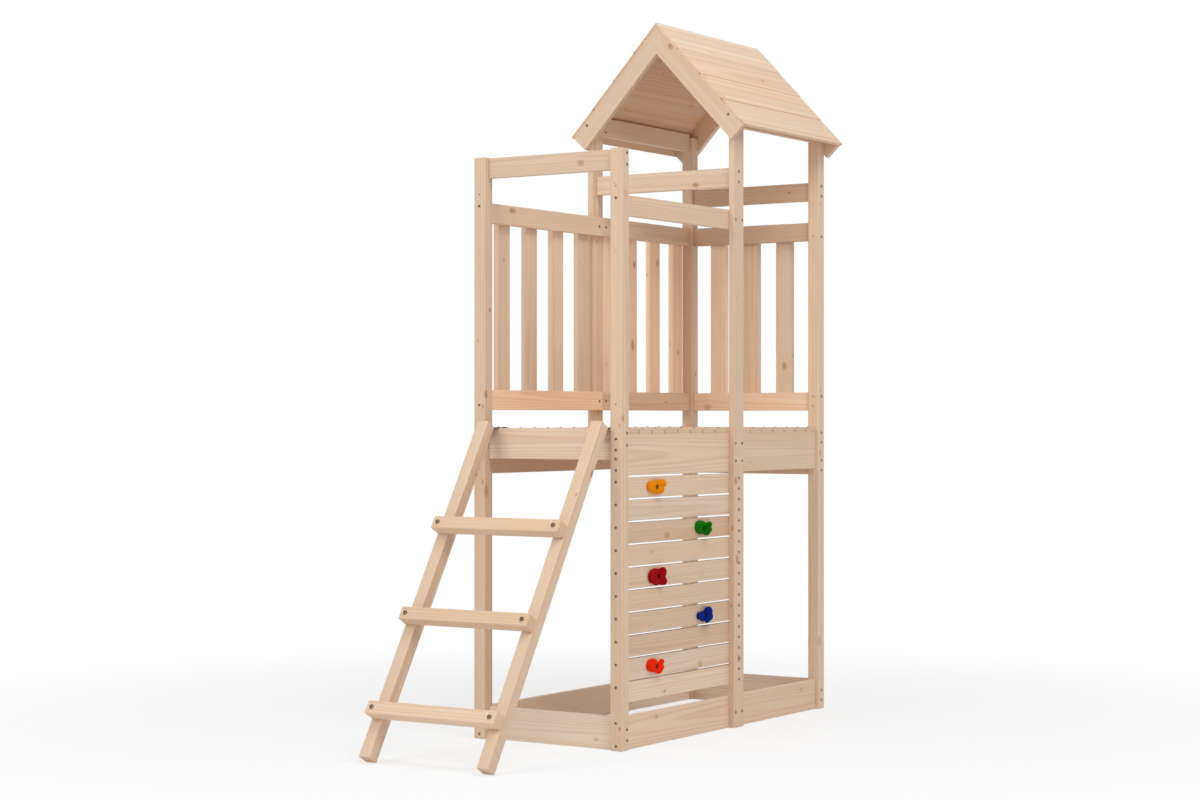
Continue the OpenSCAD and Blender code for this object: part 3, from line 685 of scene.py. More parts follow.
@dataclass(frozen=True)
class Board:
    """A straight board: the outline of one end, the run to the other, and its grain's frame."""

    outline: tuple[Vector, ...]
    run: Vector
    centre: np.ndarray
    axes: np.ndarray
    size: np.ndarray

    @classmethod
    def of_solid(cls, points: np.ndarray, run: Axis | None = None) -> "Board":
        """Reads a board from the points of its CAD solid.

        Args:
            points: Points of the solid in metres.
            run: Direction along which its outline is drawn out, or None for its longest side.

        Returns:
            The board, with its grain along its longest edge.
        """
        extent = np.ptp(points, axis=0)
        run = run or Axis(int(extent.argmax()))
        flat = [i for i in range(3) if i != run.value]
        outline = []
        for corner in outline_of(points[:, flat]):
            spot = Vector((0.0, 0.0, 0.0))
            spot[run.value] = points[:, run.value].min()
            spot[flat[0]], spot[flat[1]] = corner
            outline.append(spot)
        edges = [outline[i] - outline[i - 1] for i in range(len(outline))]
        longest = max(edges, key=lambda edge: edge.length).normalized()
        if extent[run.value] >= max(edge.length for edge in edges):
            along, across = run.vector(), longest
        else:
            along, across = longest, run.vector().cross(longest)
        axes = np.array([along, across, along.cross(across)])
        size = np.ptp(points @ axes.T, axis=0)
        if size[2] > size[1]:
            axes = np.array([axes[0], axes[2], -axes[1]])
        local = points @ axes.T
        return cls(tuple(outline), run.vector() * float(extent[run.value]),
                   axes.T @ middle_of(local), axes, np.ptp(local, axis=0))

    def mesh(self, name: str, round_over: float) -> Mesh:
        """Makes the board's mesh with rounded arrises.

        Args:
            name: Name of the mesh.
            round_over: Radius of the arrises in metres.

        Returns:
            The closed mesh.
        """
        shape = close_rings([self.outline, [corner + self.run for corner in self.outline]])
        bmesh.ops.bevel(shape, geom=shape.edges[:], offset=round_over, offset_type="OFFSET",
                        segments=ARRIS_FACETS, profile=0.5, affect="EDGES", clamp_overlap=True)
        return to_mesh(shape, name)


def write_marks(mesh: Mesh, name: str, values: np.ndarray) -> None:
    """Writes a value or a vector on each vertex.

    Args:
        mesh: The mesh.
        name: Name of the attribute.
        values: One value or one row of three for each vertex.
    """
    flat = values.ndim == 1
    mark = mesh.attributes.new(name, "FLOAT" if flat else "FLOAT_VECTOR", "POINT")
    mark.data.foreach_set("value" if flat else "vector",
                          np.ascontiguousarray(values, np.float32).ravel())


def mark_grain(mesh: Mesh, board: Board, seed: float) -> None:
    """Writes on each vertex where it lies in its board, for the pine finish.

    Args:
        mesh: Mesh of the board.
        board: The board.
        seed: Number that its grain and knots are drawn from.
    """
    points = read_points(mesh)
    mesh.calc_loop_triangles()
    triangles = np.empty(len(mesh.loop_triangles) * 3, dtype=np.int32)
    mesh.loop_triangles.foreach_get("vertices", triangles)
    triangles = triangles.reshape(-1, 3)
    a, b, c = (points[triangles[:, i]] for i in range(3))
    facing = np.zeros_like(points)
    for i in range(3):
        np.add.at(facing, triangles[:, i], np.cross(b - a, c - a))
    facing /= np.linalg.norm(facing, axis=1, keepdims=True)
    facing = np.abs(facing @ board.axes.T)
    for name, values in (
            ("grain_co", (points - board.centre) @ board.axes.T),
            ("board_size", np.tile(board.size, (len(points), 1))),
            ("board_seed", np.full(len(points), seed)),
            ("end_grain", facing[:, 0]),
            # rounded edges, which the pine finish lightens: partly wear, partly a painted highlight
            ("arris", np.clip((1 - facing.max(axis=1)) / ARRIS_TURN, 0, 1))):
        write_marks(mesh, name, values)


def stand(name: str, data: bpy.types.ID) -> Object:
    """Puts a mesh, lamp or camera into the scene.

    Args:
        name: Name of the object.
        data: What the object shows.

    Returns:
        The object, at the origin.
    """
    piece = bpy.data.objects.new(name, data)
    bpy.context.scene.collection.objects.link(piece)
    return piece


def settle(piece: Object) -> Object:
    """Turns an object's modifiers into its plain mesh.

    Args:
        piece: The object.

    Returns:
        The same object, with no modifier left.
    """
    graph = bpy.context.evaluated_depsgraph_get()
    made = bpy.data.meshes.new_from_object(
        piece.evaluated_get(graph), preserve_all_data_layers=True, depsgraph=graph)
    old = piece.data
    piece.modifiers.clear()
    piece.data = made
    made.name = piece.name
    bpy.data.meshes.remove(old)
    return piece


def carve(piece: Object, cutter: Mesh) -> None:
    """Cuts a shape out of an object.

    Args:
        piece: The object to cut.
        cutter: Mesh of what is cut away, which is removed afterwards.
    """
    tool = stand("cutter", cutter)
    cut = piece.modifiers.new("cut", "BOOLEAN")
    cut.operation, cut.solver, cut.object = "DIFFERENCE", "EXACT", tool
    settle(piece)
    bpy.data.objects.remove(tool)
    bpy.data.meshes.remove(cutter)


def shade(piece: Object, angle: float = 50.0) -> Object:
    """Shades an object smoothly, with its flat faces kept flat.

    Args:
        piece: The object.
        angle: Turn in degrees over which an edge stays sharp.

    Returns:
        The same object.
    """
    piece.data.polygons.foreach_set("use_smooth", [True] * len(piece.data.polygons))
    piece.data.set_sharp_from_angle(angle=math.radians(angle))
    weigh = piece.modifiers.new("weigh", "WEIGHTED_NORMAL")
    weigh.mode, weigh.weight, weigh.keep_sharp = "FACE_AREA", 100, True
    return settle(piece)


def coat(mesh: Mesh, material: Material) -> None:
    """Gives a mesh one material in place of any other."""
    mesh.materials.clear()
    mesh.materials.append(material)


def place(piece: Object, slot: str, *nodes: str) -> None:
    """Fixes a finished piece to the frame in place of the CAD nodes that it stands for.

    Args:
        piece: The piece.
        slot: Not used.
        nodes: Names of the CAD nodes.
    """
    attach(piece, BODY)
    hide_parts(*nodes)
    LOG.info("%s stands for %s", piece.name, ", ".join(nodes))


def dress(node: str, material: Material) -> None:
    """Gives a CAD node that stays a finer material."""
    coat(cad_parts[node].data, material)
    LOG.info("%s keeps its CAD shape", node)


class RepeatTrees:
    """Geometry node trees that repeat a board or a fastener."""

    def __init__(self) -> None:
        """Builds both trees."""
        self.row = self._row()
        self.pins = self._pins()

    @staticmethod
    def _row() -> NodeTree:
        """Builds the tree that sets boards out in a row, each with a seed of its own.

        Returns:
            The tree.
        """
        w, take, out = start_tree("GeometryNodeTree", "board_row", {
            "Geometry": GEOMETRY, "Count": "NodeSocketInt", "Pitch": VECTOR, "First Seed": FLOAT,
            "Material": MATERIAL}, {"Geometry": GEOMETRY})
        line = w.add("GeometryNodeMeshLine", {"Count": take["Count"], "Offset": take["Pitch"]},
                     mode="OFFSET")
        boards = w.add("GeometryNodeInstanceOnPoints",
                       {"Points": line, "Instance": take["Geometry"]})
        number = w.add("GeometryNodeInputIndex")
        seeds = w.add("GeometryNodeStoreNamedAttribute", {
            "Geometry": boards, "Name": "row_seed",
            "Value": w.total(number, take["First Seed"])}, data_type="FLOAT", domain="INSTANCE")
        bare = w.add("GeometryNodeRemoveAttribute", {"Geometry": seeds, "Name": "board_seed"})
        real = w.add("GeometryNodeRealizeInstances", {"Geometry": bare})
        read = w.add("GeometryNodeInputNamedAttribute", {"Name": "row_seed"}, data_type="FLOAT")
        keep = w.add("GeometryNodeStoreNamedAttribute", {
            "Geometry": real, "Name": "board_seed", "Value": read},
            data_type="FLOAT", domain="POINT")
        coated = w.add("GeometryNodeSetMaterial", {"Geometry": keep, "Material": take["Material"]})
        w.feed(out.inputs[0], coated)
        return w.tree

    @staticmethod
    def _pins() -> NodeTree:
        """Builds the tree that drives a head and a shank in at each point, along the point's axis.

        Returns:
            The tree.
        """
        w, take, out = start_tree("GeometryNodeTree", "driven_pins", {
            "Geometry": GEOMETRY, "Head": "NodeSocketObject", "Shank": "NodeSocketObject",
            "Material": MATERIAL}, {"Geometry": GEOMETRY})

        def read(name: str, kind: str) -> NodeSocket:
            """Reads an attribute of the points."""
            return w.add("GeometryNodeInputNamedAttribute", {"Name": name},
                         data_type=kind).outputs[0]

        aim = w.add("FunctionNodeAlignRotationToVector", {"Vector": read("axis", "FLOAT_VECTOR")},
                    axis="Z")
        spin = w.add("FunctionNodeEulerToRotation", {0: w.join(0.0, 0.0, read("turn", "FLOAT"))})
        turned = w.add("FunctionNodeRotateRotation", {0: aim, 1: spin}, rotation_space="LOCAL")
        both = w.add("GeometryNodeJoinGeometry")
        long = w.join(1.0, 1.0, read("reach", "FLOAT"))
        for part, scale in (("Shank", long), ("Head", (1.0, 1.0, 1.0))):
            shape = w.add("GeometryNodeObjectInfo", {"Object": take[part]},
                          transform_space="ORIGINAL")
            many = w.add("GeometryNodeInstanceOnPoints", {
                "Points": take["Geometry"], "Instance": shape.outputs["Geometry"],
                "Rotation": turned, "Scale": scale})
            w.feed(both.inputs[0], many)
        real = w.add("GeometryNodeRealizeInstances", {"Geometry": both})
        coated = w.add("GeometryNodeSetMaterial", {"Geometry": real, "Material": take["Material"]})
        w.feed(out.inputs[0], coated)
        return w.tree

    @staticmethod
    def run(piece: Object, tree: NodeTree, inputs: dict[str, object]) -> None:
        """Runs a tree on an object and keeps the result as its plain mesh.

        Args:
            piece: The object.
            tree: The tree.
            inputs: Value of each named input.
        """
        modifier = piece.modifiers.new("repeat", "NODES")
        modifier.node_group = tree
        for item in tree.interface.items_tree:
            if item.item_type == "SOCKET" and item.in_out == "INPUT" and item.name in inputs:
                modifier[item.identifier] = inputs[item.name]
        settle(piece)


@dataclass(frozen=True)
class Tone:
    """How far one board is lighter and warmer than its finish: partly the board's own tone, partly
    painted light or shade.
    """

    light: float = 1.0
    warm: float = 0.0

    def tint(self) -> tuple[float, float, float]:
        """Gives what the finish's red, green and blue are multiplied by."""
        return self.light * (1 + self.warm), self.light, self.light * (1 - self.warm)


# Each board's tone: some are the boards' own differing tones, others are painted light or shade,
# such as the darker left roof underside, rear top rail and rear base board, and the lighter left
# fence rail, left base board and rear-left slats.
TONES_AND_PAINTED_LIGHT: dict[str, list[Tone]] = {
    "front_left_post": [Tone(0.93, -0.01)],
    "front_right_post": [Tone(0.975, -0.01)],
    "front_base_board": [Tone(1.16, -0.09)],
    "rear_base_board": [Tone(0.84, -0.04)],
    "left_base_board": [Tone(1.34, -0.10)],
    "right_rear_base_board": [Tone(1.05)],
    "front_beam": [Tone(1.10, -0.04)],
    "handrail": [Tone(0.95)],
    "cross_rail": [Tone(1.05, -0.04)],
    "rear_top_rail": [Tone(0.83, 0.04)],
    "left_front_fence_rails": [Tone(1.28, 0.04), Tone(0.99, 0.01)],
    "left_rear_fence_slats": [Tone(1.26)],
    "rear_fence_rails": [Tone(1.24, -0.05), Tone(0.79, 0.03)],
    "rear_fence_slats": [Tone(1.33, -0.06), Tone(0.98, 0.02), Tone(1.04, -0.05)],
    "climbing_board_2": [Tone(1.04, -0.05)],
    "climbing_board_3": [Tone(0.86, 0.03)],
    "climbing_board_7": [Tone(0.93)],
    "climbing_board_8": [Tone(0.85, 0.04)],
    "climbing_board_9": [Tone(1.06, -0.05)],
    "climbing_board_10": [Tone(1.08, -0.05)],
    "front_left_rafter": [Tone(0.92)],
    "front_right_rafter": [Tone(0.95, 0.01)],
    "left_roof_boards": [Tone(0.81, 0.06)],
    "right_roof_boards": [Tone(1.14, -0.05), Tone(1.02, 0.02), Tone(1.06), Tone(1.08, -0.02)],
    "ladder_rung_2": [Tone(0.91, 0.04)],
    "ladder_rung_3": [Tone(0.94, 0.02)],
}


@dataclass
class Timber:
    """Makes the dressed boards of the whole frame and hands out their seeds."""

    pine: Material
    trees: RepeatTrees
    next_seed: float = 1.0

    @staticmethod
    def _paint_tone_and_light(piece: Object, node: str, first: float) -> None:
        """Writes on each vertex how its board's tone, partly its own and partly painted light or
        shade, differs from the finish.

        Args:
            piece: The piece, whose boards have seeds.
            node: Name of the CAD node, for its boards' tones.
            first: Seed of the first board.
        """
        tones_and_light = np.array([tone.tint() for tone in TONES_AND_PAINTED_LIGHT.get(node, [Tone()])])
        seeds = np.empty(len(piece.data.vertices))
        piece.data.attributes["board_seed"].data.foreach_get("value", seeds)
        boards = np.rint(seeds - first).astype(int)
        write_marks(piece.data, "board_tint", tones_and_light[boards % len(tones_and_light)])

    def _seeds(self, count: int) -> float:
        """Hands out the first of a run of unused seeds."""
        self.next_seed += count
        return self.next_seed - count

    def board(self, node: str, round_over: float, run: Axis | None = None,
              cutters: Sequence[Mesh] = (), finish: Material | None = None) -> None:
        """Makes one board in place of a CAD node.

        Args:
            node: Name of the node, which holds one solid.
            round_over: Radius of its arrises in metres.
            run: Direction along which its outline is drawn out, or None for its longest side.
            cutters: Meshes of the holes in it.
            finish: Material of the board, or None for the frame's pine.
        """
        board = Board.of_solid(solids(node)[0], run)
        piece = stand(f"{node}_timber", board.mesh(node, round_over))
        for cutter in cutters:
            carve(piece, cutter)
        seed = self._seeds(1)
        mark_grain(piece.data, board, seed)
        self._paint_tone_and_light(piece, node, seed)
        coat(shade(piece).data, finish or self.pine)
        place(piece, "pine", node)

    def row(self, node: str, round_over: float, run: Axis | None = None,
            finish: Material | None = None, top_first: bool = False) -> None:
        """Makes a row of like boards in place of a CAD node.

        Args:
            node: Name of the node, which holds one solid for each board.
            round_over: Radius of their arrises in metres.
            run: Direction along which their outline is drawn out, or None for their longest side.
            finish: Material of the boards, or None for the frame's pine.
            top_first: Whether the highest board is the pattern, not the first along the row.
        """
        found = solids(node)
        middles = np.array([middle_of(points) for points in found])
        spread = np.ptp(middles, axis=0).argmax()
        order = np.argsort(-middles[:, 2] if top_first else middles[:, spread])
        pitch = (middles[order[-1]] - middles[order[0]]) / (len(found) - 1)
        board = Board.of_solid(found[order[0]], run)
        first = self._seeds(len(found))
        piece = stand(f"{node}_timber", board.mesh(node, round_over))
        mark_grain(piece.data, board, first)
        self.trees.run(piece, self.trees.row, {
            "Count": len(found), "Pitch": list(map(float, pitch)), "First Seed": first,
            "Material": finish or self.pine})
        self._paint_tone_and_light(piece, node, first)
        place(shade(piece), "pine", node)


@dataclass
class PostFrame:
    """The posts with their spare pilot holes, the middle planks and the boards on the ground."""

    timber: Timber
    post_round: float = 3.0 * MM
    plank_round: float = 1.8 * MM
    pilot_radius: float = 2.3 * MM
    pilot_depth: float = 10 * MM
    pilot_facets: int = 14
    pilot_rings: Rings = ((0.2, -1.0), (1.0, -0.85), (1.0, 0.0), (1.2, 0.1))
    post_pilots: tuple[tuple[str, tuple[float, ...]], ...] = (
        ("front_left_post", (1.544,)), ("front_right_post", (1.544, 0.94725)),
        ("rear_left_post", ()), ("rear_right_post", (0.94725, 0.97746, 1.47754)))
    planks: tuple[str, ...] = (
        "middle_left_plank", "middle_right_plank", "front_base_board", "rear_base_board",
        "left_base_board", "right_front_base_board", "right_rear_base_board")

    def _pilot(self, node: str, height: float) -> Mesh:
        """Makes the cutter of a pilot hole in the front face of a post.

        Args:
            node: Name of the post's CAD node.
            height: Height of the hole in metres.

        Returns:
            The cutter.
        """
        low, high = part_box(node)
        spot = Vector(((low.x + high.x) / 2, low.y, height))
        rings = [(self.pilot_radius * r, self.pilot_depth * h) for r, h in self.pilot_rings]
        return lathe(rings, self.pilot_facets,
                     Matrix.Translation(spot) @ Matrix.Rotation(QUARTER, 4, "X"))

    def build(self) -> None:
        """Builds and dresses every upright and base board."""
        for node, heights in self.post_pilots:
            pilots = [self._pilot(node, height) for height in heights]
            self.timber.board(node, self.post_round, cutters=pilots)
        for node in self.planks:
            self.timber.board(node, self.plank_round)


@dataclass
class Platform:
    """The beams under the deck and the deck's boards."""

    timber: Timber
    beam_round: float = 1.0 * MM
    deck_round: float = 0.7 * MM
    beams: tuple[str, ...] = ("front_beam", "rear_beam", "left_front_beam", "left_rear_beam",
                              "right_front_beam", "right_rear_beam")

    def build(self) -> None:
        """Builds and dresses the beams and the deck."""
        for node in self.beams:
            self.timber.board(node, self.beam_round)
        self.timber.row("deck_boards", self.deck_round)


@dataclass
class Railing:
    """The single rails round the top of the frame."""

    timber: Timber
    rail_round: float = 1.8 * MM
    rails: tuple[str, ...] = ("handrail", "guard_rail", "cross_rail", "rear_top_rail")

    def build(self) -> None:
        """Builds and dresses the rails."""
        for node in self.rails:
            self.timber.board(node, self.rail_round)


@dataclass
class Fence:
    """One fence panel: two rails and its upright slats."""

    timber: Timber
    side: str
    rail_round: float = 1.8 * MM
    slat_round: float = 1.8 * MM

    def build(self) -> None:
        """Builds and dresses the rails and the slats."""
        self.timber.row(f"{self.side}_fence_rails", self.rail_round)
        self.timber.row(f"{self.side}_fence_slats", self.slat_round)


@dataclass
class Hold:
    """One moulded climbing hold, bolted flat to the wall.

    Its sizes are in millimetres. A lobe has its place across, up and out from the bolt, its radius
    and how many times it is flattened against the wall.
    """

    colour: str
    finish: PlasticFinish
    lobes: tuple[tuple[float, float, float, float, float], ...]
    sharpness: float = 4.5
    core_out: float = 8.0
    probe: tuple[float, float, int] = (2.0, 62.0, 241)
    skin_steps: int = 5
    lumps: tuple[tuple[float, float], ...] = ((2.3, 0.020), (7.0, 0.010))
    well: Rings = ((6.8, 7.5), (6.8, 14.0), (7.4, 16.0), (8.0, 19.0), (8.0, 60.0))
    well_facets: int = 40
    # painted shade in the bolt well: full within this radius of the bolt axis in millimetres, then
    # fading out
    painted_shade_radius: float = 9.2
    painted_shade_fade: float = 1.6
    sharp_angle: float = 40.0

    def _centre(self) -> Vector:
        """Finds the place of the hold's bolt.

        Returns:
            The place, on the face of the wall.
        """
        low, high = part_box(f"{self.colour}_hold")
        near = min(map(middle_of, solids("hold_bolts")), key=lambda bolt: math.hypot(
            bolt[1] - (low.y + high.y) / 2, bolt[2] - (low.z + high.z) / 2))
        return Vector((low.x, near[1], near[2]))

    def _core(self) -> np.ndarray:
        """Gives the point inside the hold from which its skin is measured."""
        across, up = np.array(self.lobes)[:, :2].mean(axis=0)
        return np.array((across, up, self.core_out))

    def _skin(self, ways: np.ndarray) -> np.ndarray:
        """Finds how far the skin lies from the core in each direction.

        Args:
            ways: Unit directions in the hold's own axes: across, up and out of the wall.

        Returns:
            The distances in millimetres.
        """
        reach = np.linspace(*self.probe)
        spots = self._core() + ways[:, None, :] * reach[None, :, None]
        filled = np.zeros((len(ways), len(reach)))
        for across, up, out, radius, flatness in self.lobes:
            away = (spots - (across, up, out)) * (1.0, 1.0, flatness)
            filled += np.exp(self.sharpness * (1 - np.linalg.norm(away, axis=2) / radius))
        inside = filled >= 1.0
        last = inside.shape[1] - 1 - inside[:, ::-1].argmax(axis=1)
        last = np.clip(last, 0, len(reach) - 2)
        rows = np.arange(len(ways))
        here, there = filled[rows, last], filled[rows, last + 1]
        step = np.clip((here - 1) / np.maximum(here - there, 1e-9), 0, 1)
        return reach[last] + step * (reach[1] - reach[0])

    def build(self) -> None:
        """Builds and dresses the hold."""
        shape = bmesh.new()
        bmesh.ops.create_icosphere(shape, subdivisions=self.skin_steps, radius=1.0)
        ways = np.array([v.co.normalized() for v in shape.verts])
        far = self._skin(ways)
        for i, way in enumerate(ways):
            far[i] *= sum((share * noise.noise(Vector(way) * scale + Vector(lobe[:3]))
                           for (scale, share), lobe in zip(self.lumps, self.lobes)), 1.0)
        back = np.where(ways[:, 2] < 0, self.core_out / np.maximum(-ways[:, 2], 1e-6), np.inf)
        spots = ways * np.minimum(far, back)[:, None] + self._core()
        centre = self._centre()
        for vert, (across, up, out) in zip(shape.verts, spots):
            vert.co = centre + Vector((out, across, up)) * MM
        bmesh.ops.recalc_face_normals(shape, faces=shape.faces)
        name = f"{self.colour}_hold_moulding"
        piece = stand(name, to_mesh(shape, name))
        well = [(radius * MM, out * MM) for radius, out in self.well]
        carve(piece, lathe(well, self.well_facets,
                           Matrix.Translation(centre) @ Matrix.Rotation(QUARTER, 4, "Y")))
        # painted shade in the bolt well, darkest near the bolt axis
        away = np.linalg.norm((read_points(piece.data) - np.array(centre))[:, 1:], axis=1) / MM
        write_marks(piece.data, "hollow",
                    np.clip((self.painted_shade_radius - away) / self.painted_shade_fade, 0, 1))
        coat(shade(piece, self.sharp_angle).data, self.finish.material())
        place(piece, f"{self.colour}_hold", f"{self.colour}_hold")


@dataclass
class ClimbingWall:
    """The boarded wall and its holds."""

    timber: Timber
    board_count: int = 10
    board_round: float = 1.8 * MM
    holds: tuple[Hold, ...] = (
        Hold("yellow", PlasticFinish("yellow_plastic", linear(232, 134, 0), linear(238, 150, 22)), (
            (-17.5, 1.7, 4.9, 15.1, 1.5), (0.6, -0.4, 4.4, 17.9, 1.5),
            (25.6, 9.4, 15.6, 12.5, 1.0), (13.1, -10.9, 8.2, 9.4, 1.1),
            (21.0, -8.2, 13.9, 9.9, 1.0), (9.8, 12.4, 11.3, 7.1, 1.1))),
        Hold("green", PlasticFinish("green_plastic", linear(10, 104, 2), linear(24, 116, 14)), (
            (-11.6, 3.1, 2.0, 16.1, 1.5), (1.4, 2.1, 3.5, 19.1, 1.5),
            (22.7, 10.4, 19.8, 8.3, 1.0), (19.2, -11.2, 12.6, 10.5, 1.0),
            (18.6, -4.4, 22.5, 7.9, 1.0), (11.3, 10.3, 8.9, 7.0, 1.1))),
        Hold("red", PlasticFinish("red_plastic", linear(152, 0, 8), linear(166, 14, 22)), (
            (-15.7, 0.1, 4.9, 17.5, 1.5), (3.8, -0.8, 0.9, 22.5, 1.5),
            (19.8, 14.4, 18.6, 10.1, 1.0), (29.8, -14.5, 12.2, 12.0, 1.0),
            (24.3, 7.0, 10.6, 13.5, 1.0), (14.8, -11.9, 0.4, 12.6, 1.1))),
        Hold("blue", PlasticFinish("blue_plastic", linear(0, 32, 122), linear(8, 44, 136)), (
            (-16.9, -2.5, 4.2, 10.5, 1.1), (-1.5, -1.0, 8.7, 11.0, 1.3),
            (6.2, -5.9, -1.3, 14.7, 1.3), (19.1, 10.6, 13.6, 12.3, 1.0),
            (9.0, -16.6, 16.0, 7.4, 1.0), (24.6, -6.4, 10.1, 13.9, 1.0))),
        Hold("orange", PlasticFinish("orange_plastic", linear(234, 40, 0), linear(240, 62, 14)), (
            (-16.9, 2.9, 3.4, 15.9, 1.5), (0.3, 1.6, 4.6, 18.7, 1.5),
            (24.5, 11.1, 16.4, 7.6, 1.0), (19.0, -11.8, 9.0, 11.5, 1.0),
            (22.1, -4.0, 16.8, 8.3, 1.0), (-14.5, 9.0, 7.8, 7.6, 1.1))))

    def build(self) -> None:
        """Builds and dresses the boards and the holds."""
        for number in range(1, self.board_count + 1):
            self.timber.board(f"climbing_board_{number}", self.board_round)
        for hold in self.holds:
            hold.build()


@dataclass
class Roof:
    """The rafters, the roof boards of both slopes and the eave plates."""

    timber: Timber
    finish: PineFinish = PineFinish(
        "roof_pine", late=linear(206, 160, 122), warm=linear(230, 174, 128), ring_width=0.011,
        contrast=0.5, knot_chance=0.6, knot_reach=30 * MM)
    rafter_finish: PineFinish = PineFinish(
        "rafter_pine", ring_width=0.009, contrast=0.22, knot_chance=0.3)
    rafter_round: float = 0.5 * MM
    board_round: float = 0.3 * MM
    rafters: tuple[str, ...] = ("front_left_rafter", "front_right_rafter", "rear_left_rafter",
                                "rear_right_rafter")
    slopes: tuple[str, ...] = ("left_roof_boards", "right_roof_boards")

    def build(self) -> None:
        """Builds and dresses the roof."""
        covering, plain = self.finish.material(), self.rafter_finish.material()
        for node in self.rafters:
            self.timber.board(node, self.rafter_round, Axis.Y, finish=plain)
        for node in self.slopes:
            self.timber.row(node, self.board_round, Axis.Y, covering, top_first=True)
        self.timber.row("eave_plates", self.rafter_round)


@dataclass
class Ladder:
    """The leaning ladder and the brackets that hold it."""

    timber: Timber
    rail_round: float = 3.5 * MM
    rung_round: float = 3.5 * MM
    rung_count: int = 3
    rails: tuple[str, ...] = ("left_ladder_rail", "right_ladder_rail")
    coating: SteelFinish = SteelFinish(
        "black_coated_steel", linear(38, 38, 40), linear(58, 56, 54), 0.35)

    def build(self) -> None:
        """Builds and dresses the rails and rungs, and dresses the brackets."""
        for node in self.rails:
            self.timber.board(node, self.rail_round, Axis.X)
        for number in range(1, self.rung_count + 1):
            self.timber.board(f"ladder_rung_{number}", self.rung_round, Axis.X)
        dress("ladder_brackets", self.coating.material())


@dataclass(frozen=True)
class Pin:
    """Where one screw or bolt sits: under its head, out along its axis, and down to its tip."""

    HEAD_SHARE: ClassVar[float] = 0.9
    SHANK_SHARE: ClassVar[float] = 0.1

    seat: Vector
    axis: Vector
    reach: float
    head_radius: float
    head_height: float
    shank_radius: float

    @classmethod
    def of_solid(cls, points: np.ndarray) -> "Pin":
        """Reads a pin from the points of its CAD solid.

        Args:
            points: Points of the solid, which is round about its axis.

        Returns:
            The pin.
        """
        middle = points.mean(axis=0)
        spans, ways = np.linalg.eigh(np.cov((points - middle).T))
        axis = ways[:, 2] if spans[2] - spans[1] > spans[1] - spans[0] else ways[:, 0]
        height = (points - middle) @ axis
        radius = np.linalg.norm(points - middle - np.outer(height, axis), axis=1)
        widest = radius.max()
        head = radius > widest * cls.HEAD_SHARE
        if height[head].mean() < (height.min() + height.max()) / 2:
            axis, height = -axis, -height
        seat, shank = height[head].min(), radius[~head & (radius > widest * cls.SHANK_SHARE)]
        return cls(Vector(middle + axis * seat), Vector(axis), float(seat - height.min()),
                   float(widest), float(height.max() - seat), float(shank.max()))


@dataclass
class Fasteners:
    """Every screw, bolt and nut, with the forms of heads and shanks in shares of their sizes."""

    trees: RepeatTrees
    plating: SteelFinish = SteelFinish(
        "zinc_plated_steel", linear(142, 123, 104), linear(76, 61, 48), 0.3)
    # hold bolts: a dark coating, its tone partly the coating's own and partly painted shade deep in
    # the bolt wells
    coating_and_well_shade: SteelFinish = SteelFinish(
        "blackened_steel", linear(96, 86, 76), linear(66, 58, 50), 0.3)
    head_rings: Rings = ((0.95, 0.0), (1.0, 0.25), (0.88, 0.72), (0.55, 1.0))
    head_facets: int = 12
    shank_rings: Rings = ((0.25, -1.0), (1.0, -0.8), (1.0, 0.0))
    shank_facets: int = 8
    recess_heights: tuple[float, float] = (0.35, 1.2)
    hex_radius: float = 0.46
    cross_radii: tuple[float, float] = (0.5, 0.62)
    cross_slimness: float = 0.3
    sharp_angle: float = 35.0
    turn_seed: int = 20

    def _head(self, pin: Pin, recess: Recess) -> Object:
        """Makes the head of a screw or bolt, its underside at the origin.

        Args:
            pin: A pin of the right size.
            recess: The drive in the head.

        Returns:
            The head.
        """
        wide, tall = pin.head_radius, pin.head_height
        rings = [(wide * r, tall * h) for r, h in self.head_rings]
        head = stand("head", lathe(rings, self.head_facets))
        heights = [tall * share for share in self.recess_heights]
        if recess is Recess.HEX:
            carve(head, lathe([(wide * self.hex_radius, height) for height in heights], 6))
            return head
        eighth = Matrix.Rotation(QUARTER / 2, 4, "Z")
        slim = Matrix.Diagonal((1, self.cross_slimness, 1, 1))
        for turn in (QUARTER / 2, QUARTER * 3 / 2):
            slot = lathe([(wide * r, h) for r, h in zip(self.cross_radii, heights)], 4)
            slot.transform(Matrix.Rotation(turn, 4, "Z") @ slim @ eighth)
            carve(head, slot)
        return head

    def _drive(self, node: str, recess: Recess, material: Material) -> None:
        """Makes every pin of a CAD node.

        Args:
            node: Name of the node.
            recess: The drive in the heads.
            material: Finish of the pins.
        """
        pins = [Pin.of_solid(points) for points in solids(node)]
        head = self._head(pins[0], recess)
        thin = pins[0].shank_radius
        rings = [(thin * r, h) for r, h in self.shank_rings]
        shank = stand("shank", lathe(rings, self.shank_facets))
        mesh = bpy.data.meshes.new(f"{node}_set")
        mesh.from_pydata([pin.seat for pin in pins], [], [])
        write_marks(mesh, "axis", np.array([pin.axis for pin in pins]))
        write_marks(mesh, "reach", np.array([pin.reach for pin in pins]))
        write_marks(mesh, "turn",
                    np.random.default_rng(self.turn_seed).uniform(0, math.tau, len(pins)))
        piece = stand(f"{node}_set", mesh)
        self.trees.run(piece, self.trees.pins, {"Head": head, "Shank": shank, "Material": material})
        for tool in (head, shank):
            bpy.data.objects.remove(tool)
        place(shade(piece, self.sharp_angle), "steel", node)

    def build(self) -> None:
        """Builds and dresses the screws and bolts, and dresses the nuts."""
        steel = self.plating.material()
        self._drive("frame_screws", Recess.CROSS, steel)
        self._drive("ladder_bolts", Recess.HEX, steel)
        self._drive("hold_bolts", Recess.HEX, self.coating_and_well_shade.material())
        dress("bolt_nuts", steel)


@dataclass(frozen=True)
class Lamp:
    """One wide soft lamp of the studio, in metres and watts."""

    name: str
    place: tuple[float, float, float]
    power: float
    side: float
    colour: tuple[float, float, float]


